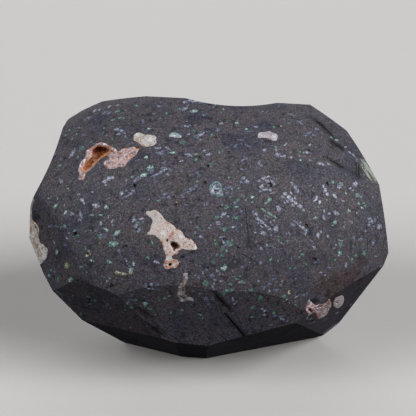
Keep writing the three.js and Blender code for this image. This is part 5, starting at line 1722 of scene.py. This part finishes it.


# Patches of the pieces in front, read as the inclusions are.
PATCHES: dict[str, Patches] = {
    "amber_and_pink_crust": {
        Touch.DARK: ((101.1, 148.3, 11, 3.2, 2), (110.8, 150.7, 2.2, 1.3, 0), (95.5, 150.2, 4, 1.6, 20)),
        Touch.STAIN: (
            (98.4, 155.3, 7.7, 4.1, 35), (92.9, 160.7, 6, 4.1, 45), (85.6, 167.1, 5.5, 3.3, 35),
            (104, 153.5, 5, 2.5, 25), (89, 164, 5, 3.4, 45), (136.5, 147.4, 2.4, 1.6, 10),
            (130.3, 157, 1.3, 0.8, 0), (131.2, 159.4, 1, 0.7, 0), (105.6, 166.4, 1.5, 1, 0),
            (126.8, 147.6, 1.3, 0.8, 0), (118.3, 153.6, 1.4, 0.7, 10), (112.6, 158, 1.2, 0.8, 0),
        ),
        Touch.GREEN: ((84.8, 168.2, 3.6, 1.8, 35), (88.2, 166.2, 2, 1.3, 35)),
        Touch.FROST: (
            (93.4, 159.4, 1.7, 1.1, 0), (94.7, 155.3, 1, 0.8, 0), (111.1, 147.3, 2.3, 1.5, -20),
            (115.4, 149.2, 1.4, 1.4, 0), (103.8, 144.2, 2.2, 0.9, 5), (80.2, 165.3, 1.1, 1.9, 0),
            (88, 150.4, 1.6, 0.9, 40), (106.8, 145.4, 1.3, 0.9, -30), (104.5, 162.6, 1.5, 1.3, 0),
            (84.5, 160.5, 1.2, 2.4, -20), (92, 163.4, 1, 0.7, 0),
        ),
    },
    "cream_filling_upper_left": {
        Touch.STAIN: (
            (136.5, 140, 2.6, 0.9, -30), (140, 141.6, 2.4, 0.7, -5), (141, 136.9, 3, 0.5, 20),
            (144.2, 135.8, 1.9, 0.45, 30), (143, 145.3, 2.3, 0.9, -25), (150.6, 144.8, 2, 0.7, 15),
            (149.5, 146.4, 1.1, 0.8, 0), (138, 138.7, 1.4, 0.4, 20), (134.2, 138.6, 0.8, 1.2, 0),
        ),
        Touch.FROST: (
            (151.5, 145.5, 0.7, 0.5, 0), (136.8, 134.6, 2.2, 1.2, 0), (150, 139.5, 3.2, 2.2, 0),
        ),
        Touch.DARK: ((154.3, 142, 0.45, 0.4, 0),),
    },
    "cream_filling_upper_right": {
        Touch.STAIN: (
            (269.6, 138, 1.4, 0.8, 50), (271.2, 140.2, 0.6, 0.5, 0), (263.2, 137.4, 1.2, 0.5, 0),
        ),
        Touch.FROST: (
            (259.8, 134, 2.4, 1.4, 0), (274.5, 136, 2.4, 2.2, 0), (265, 136, 1.6, 0.8, 0),
            (275.6, 139.6, 1.2, 1, 0),
        ),
        Touch.GREEN: ((268.5, 133.6, 3.4, 1.4, 0), (277.6, 137.4, 0.5, 1.4, 0)),
        Touch.DARK: ((260.2, 134.8, 0.4, 0.4, 0),),
    },
    "pale_filling_top": {
        Touch.GREEN: (
            (176, 132.6, 4.2, 1, -8), (180.2, 134.2, 2.6, 1, -25), (170.6, 134.2, 1.2, 0.7, 30),
        ),
        Touch.FROST: ((173.4, 135.6, 3.4, 0.9, -3), (180, 136.7, 1.4, 0.8, 0)),
        Touch.DARK: ((179.3, 136.3, 0.4, 0.3, 0),),
    },
    "star_filling": {
        Touch.GREEN: (
            (156.4, 215.2, 8.4, 6.4, -20), (146.8, 212.6, 2.6, 1.6, 30), (147.5, 233.6, 2.4, 1.2, 20),
        ),
        Touch.STAIN: (
            (167.5, 223.2, 2.5, 0.8, -15), (177.1, 229.3, 1.5, 1.3, -30), (188.9, 239.2, 1.7, 0.8, -15),
            (185.4, 242.8, 1.3, 1, 0), (192.5, 246.5, 1.5, 0.9, -20), (189.5, 244.8, 1, 0.8, 0),
            (187.2, 246.6, 1.2, 0.7, 0), (194.2, 243.4, 0.9, 0.8, 0), (161.9, 241.8, 1.3, 2.2, 15),
            (163.2, 246.4, 1, 1.6, 15), (166.4, 255.2, 2, 1, 0), (174.6, 255.4, 2.6, 1.6, 10),
            (169.8, 252.2, 1.2, 1, 0), (178.6, 251.2, 2.2, 0.8, 20), (165.2, 251.2, 0.9, 1.2, 0),
            (171.6, 234.6, 4, 1.7, 42), (169.2, 238.4, 1.6, 1, 60), (166, 262.4, 2.6, 2.2, 30),
            (175.6, 261, 2.6, 1.6, -20), (176.6, 265, 1.6, 2, 0), (170.2, 267.4, 4, 1.5, 0),
            (166.6, 266.4, 1.8, 1.6, 0), (171, 262.2, 3, 1.4, 0),
        ),
        Touch.DARK: (
            (166.9, 240.5, 0.9, 1.4, -15), (174.8, 245.4, 4.9, 2.5, -30), (173.9, 249.9, 1.1, 1.5, 0),
            (170, 264.6, 1.5, 1, 15),
        ),
        Touch.FROST: (
            (168, 259.2, 1.9, 1.1, -20), (173.6, 264.2, 0.8, 0.7, 0), (167.2, 264.6, 0.7, 0.7, 0),
            (174.4, 267.6, 0.8, 0.6, 0), (168.6, 268.4, 0.8, 0.6, 0), (195.7, 247.5, 2.2, 1.7, 0),
            (180.5, 236.5, 2.6, 1.5, -40), (163.5, 233.5, 3.2, 1.8, -30), (184, 249, 2.4, 0.9, 5),
            (165.6, 248.6, 0.9, 1.4, 10),
        ),
    },
    "left_end_crust": {
        Touch.STAIN: (
            (31.2, 230, 1.5, 3.2, 0), (31.2, 208.5, 1.3, 1.5, 0), (36, 245, 1.3, 2.8, 30),
            (33.2, 238, 1.2, 3, 15), (40.4, 256, 1.3, 0.9, 0), (28.3, 217.5, 0.9, 2, 10),
            (38, 253.4, 0.9, 2.4, 25), (35.5, 236, 0.8, 0.8, 0), (34.4, 243, 1, 1.2, 0),
        ),
        Touch.GREEN: ((32.4, 204, 1.6, 5, -30), (30, 212, 1.6, 4, -15), (37.4, 231, 1, 4.5, 10)),
        Touch.FROST: (
            (43, 250, 3.4, 3.8, 0), (44, 257, 2.6, 3, -30), (41.2, 262, 1.4, 1.6, 0),
            (40, 246.5, 2, 1.6, 0),
        ),
    },
    "low_right_druse": {
        Touch.DARK: (
            (309.8, 310, 1.3, 1.5, 0), (311.4, 312.2, 1.1, 0.8, -30), (319, 307.5, 1.9, 0.9, 15),
            (314.6, 308.2, 0.6, 0.6, 0), (317.2, 310.2, 0.6, 0.5, 0),
        ),
        Touch.STAIN: (
            (328.6, 303, 3, 1, -70), (319, 315.6, 3.2, 1.1, -68), (315.8, 312.4, 2.4, 0.8, -65),
            (327.4, 307.6, 1.1, 1.4, 0), (321, 304.5, 1.2, 0.9, 0), (312.2, 313.4, 1.6, 0.8, 0),
            (319.8, 306, 2.2, 1.4, 0), (324, 306.5, 1, 0.8, 0), (313.8, 309.8, 1.3, 0.7, -40),
            (310, 308.6, 1.6, 1, 0),
        ),
        Touch.FROST: (
            (325.2, 311, 2.2, 2.6, 0), (322.5, 316, 2.2, 1.4, 10), (318.4, 311.6, 1.7, 1.2, 0),
            (325.4, 304.4, 1.6, 0.8, 0), (316.4, 306.8, 0.8, 0.8, 0), (326, 309, 1.4, 0.8, 0),
        ),
        Touch.GREEN: (
            (309, 302, 3.6, 1.9, 60), (311.4, 298, 2.4, 1.3, 0), (307.4, 315.4, 4.4, 1, 75),
            (305.8, 308, 3, 1.1, 70),
        ),
    },
    "low_right_oval": {
        Touch.DARK: ((337, 303, 0.7, 0.9, 0),),
        Touch.STAIN: ((336.2, 301.4, 1.2, 0.8, 0), (335, 304.4, 0.6, 1.6, 0), (343, 297, 0.8, 1.4, 0)),
        Touch.FROST: ((339.4, 299.6, 2.8, 2.6, 0), (341.6, 304, 1.3, 2.6, 0)),
        Touch.GREEN: ((336.4, 308.4, 1.8, 1, 0),),
    },
    "right_end_filling": {
        Touch.DARK: ((364.6, 169.4, 0.35, 5.4, 26),),
        Touch.GREEN: (
            (363.2, 172.4, 0.5, 4, 28), (375.5, 183, 7, 3.4, -58), (361.2, 161, 1.5, 2, 0),
            (371.5, 177.5, 4, 2.8, -60),
        ),
        Touch.FROST: ((366.2, 167.6, 0.8, 4.6, 28),),
    },
    "corner_edge_filling": {
        Touch.FROST: ((327, 333, 3.5, 1.2, 45),),
        Touch.GREEN: ((334, 326, 3, 0.8, 45),),
    },
    "crease_vein": {
        Touch.FROST: (
            (185.2, 274.2, 1.6, 1, 0), (186.2, 278, 1, 1.6, 0), (180, 293.4, 2.6, 1.5, 0),
            (182, 300.4, 1.6, 1.4, 0), (190.2, 299, 3, 1.8, -20), (179.6, 287, 1.4, 1, 0),
        ),
        Touch.STAIN: (
            (183.4, 281, 1.1, 0.9, 0), (182.4, 286, 1.2, 1, 0), (184.6, 283.4, 1.6, 1.3, 0),
            (179, 289.6, 1.6, 0.9, 0), (191.2, 304.6, 0.8, 1.2, 0),
        ),
        Touch.DARK: (
            (182.6, 290.8, 1.1, 0.8, 0), (185.8, 293.4, 0.7, 0.7, 0), (181.4, 297.4, 0.7, 0.8, 0),
            (183.6, 298.6, 0.6, 0.6, 0), (186.2, 271, 1, 0.6, 0),
        ),
        Touch.GREEN: ((191, 297.4, 1.6, 1, 0), (187.6, 300.6, 1.2, 1.2, 0)),
    },
    "green_rimmed_filling": {
        Touch.GREEN: (
            (211.2, 187, 1.1, 3.6, 8), (213, 183.2, 2, 1, 35), (217.6, 182.2, 3.2, 0.8, 0),
            (220.9, 188, 0.7, 4.4, 0), (212.4, 194.6, 2.8, 0.9, -15), (217.4, 196, 3.2, 0.8, -10),
            (222, 195.4, 1.8, 1.6, 0),
        ),
        Touch.FROST: (
            (213.6, 187.2, 1.8, 0.7, 60), (216, 188.4, 0.9, 0.9, 0), (218.6, 188.6, 0.6, 0.6, 0),
            (218.4, 193, 1.4, 0.7, 0), (212.8, 190.6, 1, 1.2, 0),
        ),
        Touch.DARK: (
            (213.9, 184.4, 0.5, 0.7, 0), (214.6, 190.6, 0.6, 0.5, 0), (217.4, 190.8, 0.5, 0.7, 0),
            (215.6, 192.8, 0.6, 0.4, 0), (217.6, 186, 0.5, 0.5, 0),
        ),
    },
    "basalt": {
        Touch.FROST: (
            (135, 157, 15, 6, 10), (237, 142, 13, 10, 0), (195, 117, 11, 4, 0), (298, 168, 22, 9, 5),
            (331, 222, 9, 18, 0), (264, 124, 9, 4, 0), (315, 258, 14, 7, 0), (232, 262, 14, 6, 0),
            (100, 118, 9, 5, 15), (352, 170, 7, 14, 20), (150, 262, 12, 5, 0),
        ),
        Touch.GREEN: (
            (311.4, 232, 2, 3.4, 0), (312.4, 219.5, 1.3, 3.2, -10), (320, 209, 3.4, 1.1, 10),
            (309, 227, 1.2, 4, 0), (314.6, 214.6, 1.6, 1, 0),
        ),
        Touch.STAIN: (
            (340, 281, 26, 7, 8), (326, 288, 12, 4, 0), (198, 284.5, 7, 1.6, -12), (330, 294, 9, 4, 0),
            (352, 272, 10, 5, 10), (361, 262, 6, 7, 0),
        ),
        # Painted shade in the recess beside the left crust, around two pits and about the low right druse and
        # oval.
        Touch.DARK: (
            (34.8, 216, 2.4, 6, 0), (37.5, 217.5, 4.6, 3, 0), (264.5, 140.8, 1.1, 1.1, 0),
            (268, 141.2, 1.5, 0.9, 0), (315, 300.5, 4, 3, 20), (331.6, 300, 1.8, 5, 0),
            (312, 321, 5, 1.6, -20),
        ),
    },
}


# Patches of the fillings that other sides show, measured square to each filling's own side.
SIDE_PATCHES: dict[str, Patches] = {
    "left_end_crust": {
        Touch.STAIN: ((22, 40, 3.2, 1.2, 60), (28, 30, 2.6, 1.1, 70), (18, 14, 2.4, 1.1, 40),
                      (4, 28, 3, 1.2, 30), (10, 18, 2.4, 1.1, -20), (14, 36, 2.6, 1, 60)),
        Touch.DARK: ((24, 35, 1.3, 0.9, 60), (15, 20, 0.9, 0.7, 0), (8, 24, 1.6, 1, 20)),
        Touch.FROST: ((20, 28, 4, 1.6, 70), (29, 42, 2.5, 1.3, 60), (2, 22, 3, 1.4, 10),
                      (15, 27, 3, 1.4, -30)),
        Touch.GREEN: ((25, 20, 3, 1.5, 50), (12, 48, 2.6, 1.4, 20), (8, 33, 3, 1.3, 50),
                      (13, 12, 2.4, 1.4, 0)),
    },
    "right_end_filling": {
        Touch.FROST: ((-18.8, 33.4, 9, 1.2, 76), (-14.6, 32.3, 9, 1.6, 76), (-8, 30, 8, 1.4, 76)),
        Touch.GREEN: ((-16.9, 31, 10, 0.9, 76), (-11, 29, 9, 1.3, 76), (-15, 21, 3.5, 3, 30)),
        Touch.DARK: ((-11.5, 26, 1.1, 0.7, 76),),
    },
    "low_right_druse": {
        Touch.STAIN: ((30.2, 10.2, 2.6, 1.6, 45), (14.5, 22.7, 2.4, 1.6, 40), (0.3, 38.2, 2.2, 1.4, 50)),
        Touch.FROST: ((28.7, 22.9, 3, 1.8, 50), (13, 36.8, 2.8, 1.6, 40), (8, 30, 2, 1.4, 60)),
        Touch.GREEN: ((20, 16, 2.6, 1.6, 45), (5, 44, 2.6, 1.5, 40)),
    },
    "low_right_oval": {
        Touch.STAIN: ((20, 55, 1.6, 1, 40), (27, 46, 1.2, 0.8, 30)),
        Touch.FROST: ((30, 42, 2.4, 1.4, 40), (22, 51, 2.2, 1.2, 50)),
        Touch.GREEN: ((33, 38, 1.8, 1.2, 30),),
    },
    "back_filling": {
        Touch.STAIN: ((-20, -3, 3.2, 1.6, 20), (-8, -14, 2.6, 1.4, -30), (4, -2, 2.2, 1.2, 10),
                      (14, -9, 2.8, 1.3, -20), (-2, -9, 1.6, 1, 0)),
        Touch.DARK: ((-12, -8, 2.2, 1.5, 15), (9, -6, 1.2, 0.9, 0)),
        Touch.FROST: ((-5, -3, 3.5, 1.4, 10), (16, -4, 2, 1.2, 0), (-16, -13, 2.4, 1.3, 40)),
        Touch.GREEN: ((-24, -9, 2.5, 1.5, 60), (19, -12, 2.2, 1.3, 0)),
    },
    "back_druse": {
        Touch.STAIN: ((2, -8, 2.4, 1.6, 40), (16, -18, 2.6, 1.5, -20), (8, -20, 1.8, 1.2, 0),
                      (20, -8, 1.8, 1.2, 30), (11, -5, 1.6, 1, 0)),
        Touch.DARK: ((9, -13, 2, 1.6, 10), (17, -12, 1.1, 0.8, 0)),
        Touch.FROST: ((5, -15, 2.4, 1.4, 20), (14, -7, 2.2, 1.2, -30), (19, -16, 1.6, 1, 0)),
    },
    "back_left_filling": {
        Touch.STAIN: ((2, -1, 1.4, 0.9, 0),),
        Touch.DARK: ((-5, 2, 1, 0.7, 0),),
        Touch.FROST: ((-3, 4.5, 3, 1.2, 15),),
        Touch.GREEN: ((-9, 1, 2, 1.4, 0), (4, 7, 2, 1, 20)),
    },
}

# Washes of rust, bloom and grime over the stone's other sides.
STONE_PATCHES: dict[Side, Patches] = {
    Side.BACK: {
        Touch.STAIN: ((-60, 20, 16, 7, 30), (45, -35, 12, 6, -20), (5, 60, 9, 4, 10)),
        Touch.FROST: ((-20, 45, 20, 8, 10), (70, 10, 12, 7, 60), (-80, -30, 14, 7, -30)),
        Touch.DARK: ((20, 30, 9, 4, -10), (-35, -40, 11, 5, 25)),
    },
    Side.LEFT: {
        Touch.STAIN: ((50, 20, 9, 5, 40),),
        Touch.FROST: ((22, -20, 12, 6, 20), (62, 50, 10, 6, 50)),
    },
    Side.RIGHT: {
        Touch.STAIN: ((-22, -28, 10, 5, -20), (30, 50, 8, 4, 30)),
        Touch.FROST: ((12, -18, 10, 6, 20), (38, 15, 11, 6, 70)),
        Touch.GREEN: ((26, 22, 8, 3, 30),),
    },
}


def dress_all(pieces: dict[str, Object]) -> None:
    """Gives every piece its finish.

    Args:
        pieces: each piece under the name of the node it stands for.
    """
    finishes = {name: zeolite.make() for name, zeolite in ZEOLITES.items()}
    for filling in FILLINGS:
        dress(pieces[filling.node], finishes[filling.finish])
    dress(pieces["basalt"], GroundBasalt().make())


def main() -> None:
    """Builds the stone, its fillings and the studio."""
    logging.basicConfig(level=logging.INFO, format="%(relativeCreated)d %(message)s")
    Studio().build()
    lump = Lump().build()
    LOG.info("lump %d faces", len(lump.data.polygons))
    skin = Skin.of(lump)
    pieces = {}
    pockets = []
    for filling in FILLINGS:
        piece, pocket = filling.build(lump, skin)
        active(piece)
        bpy.ops.object.shade_smooth()
        pieces[filling.node] = piece
        pockets.append(pocket)
        LOG.info("%s %d faces", piece.name, len(piece.data.polygons))
    carve(lump, joined(pockets))
    cuts = Cuts()
    cuts.cut(lump, skin)
    drop_crumbs(lump)
    finish_modifier(lump, "TRIANGULATE")
    LOG.info("stone %d triangles", len(lump.data.polygons))
    active(lump)
    bpy.ops.object.shade_smooth_by_angle(angle=math.radians(4))
    Inclusions().lay(lump, skin)
    paint(lump, ((Side.FRONT, skin.patches("basalt")), *STONE_PATCHES.items(),
                 *((side, cuts.slot_shade(side)) for side in Side)))
    pieces["basalt"] = lump
    dress_all(pieces)
    for node, piece in pieces.items():
        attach(piece, "root")
        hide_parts(node)
    boxes = {"cad": CAD_BOX, "visual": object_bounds()}
    {name: [list(corner) for corner in box] for name, box in boxes.items()}


if __name__ == "__main__":
    main()
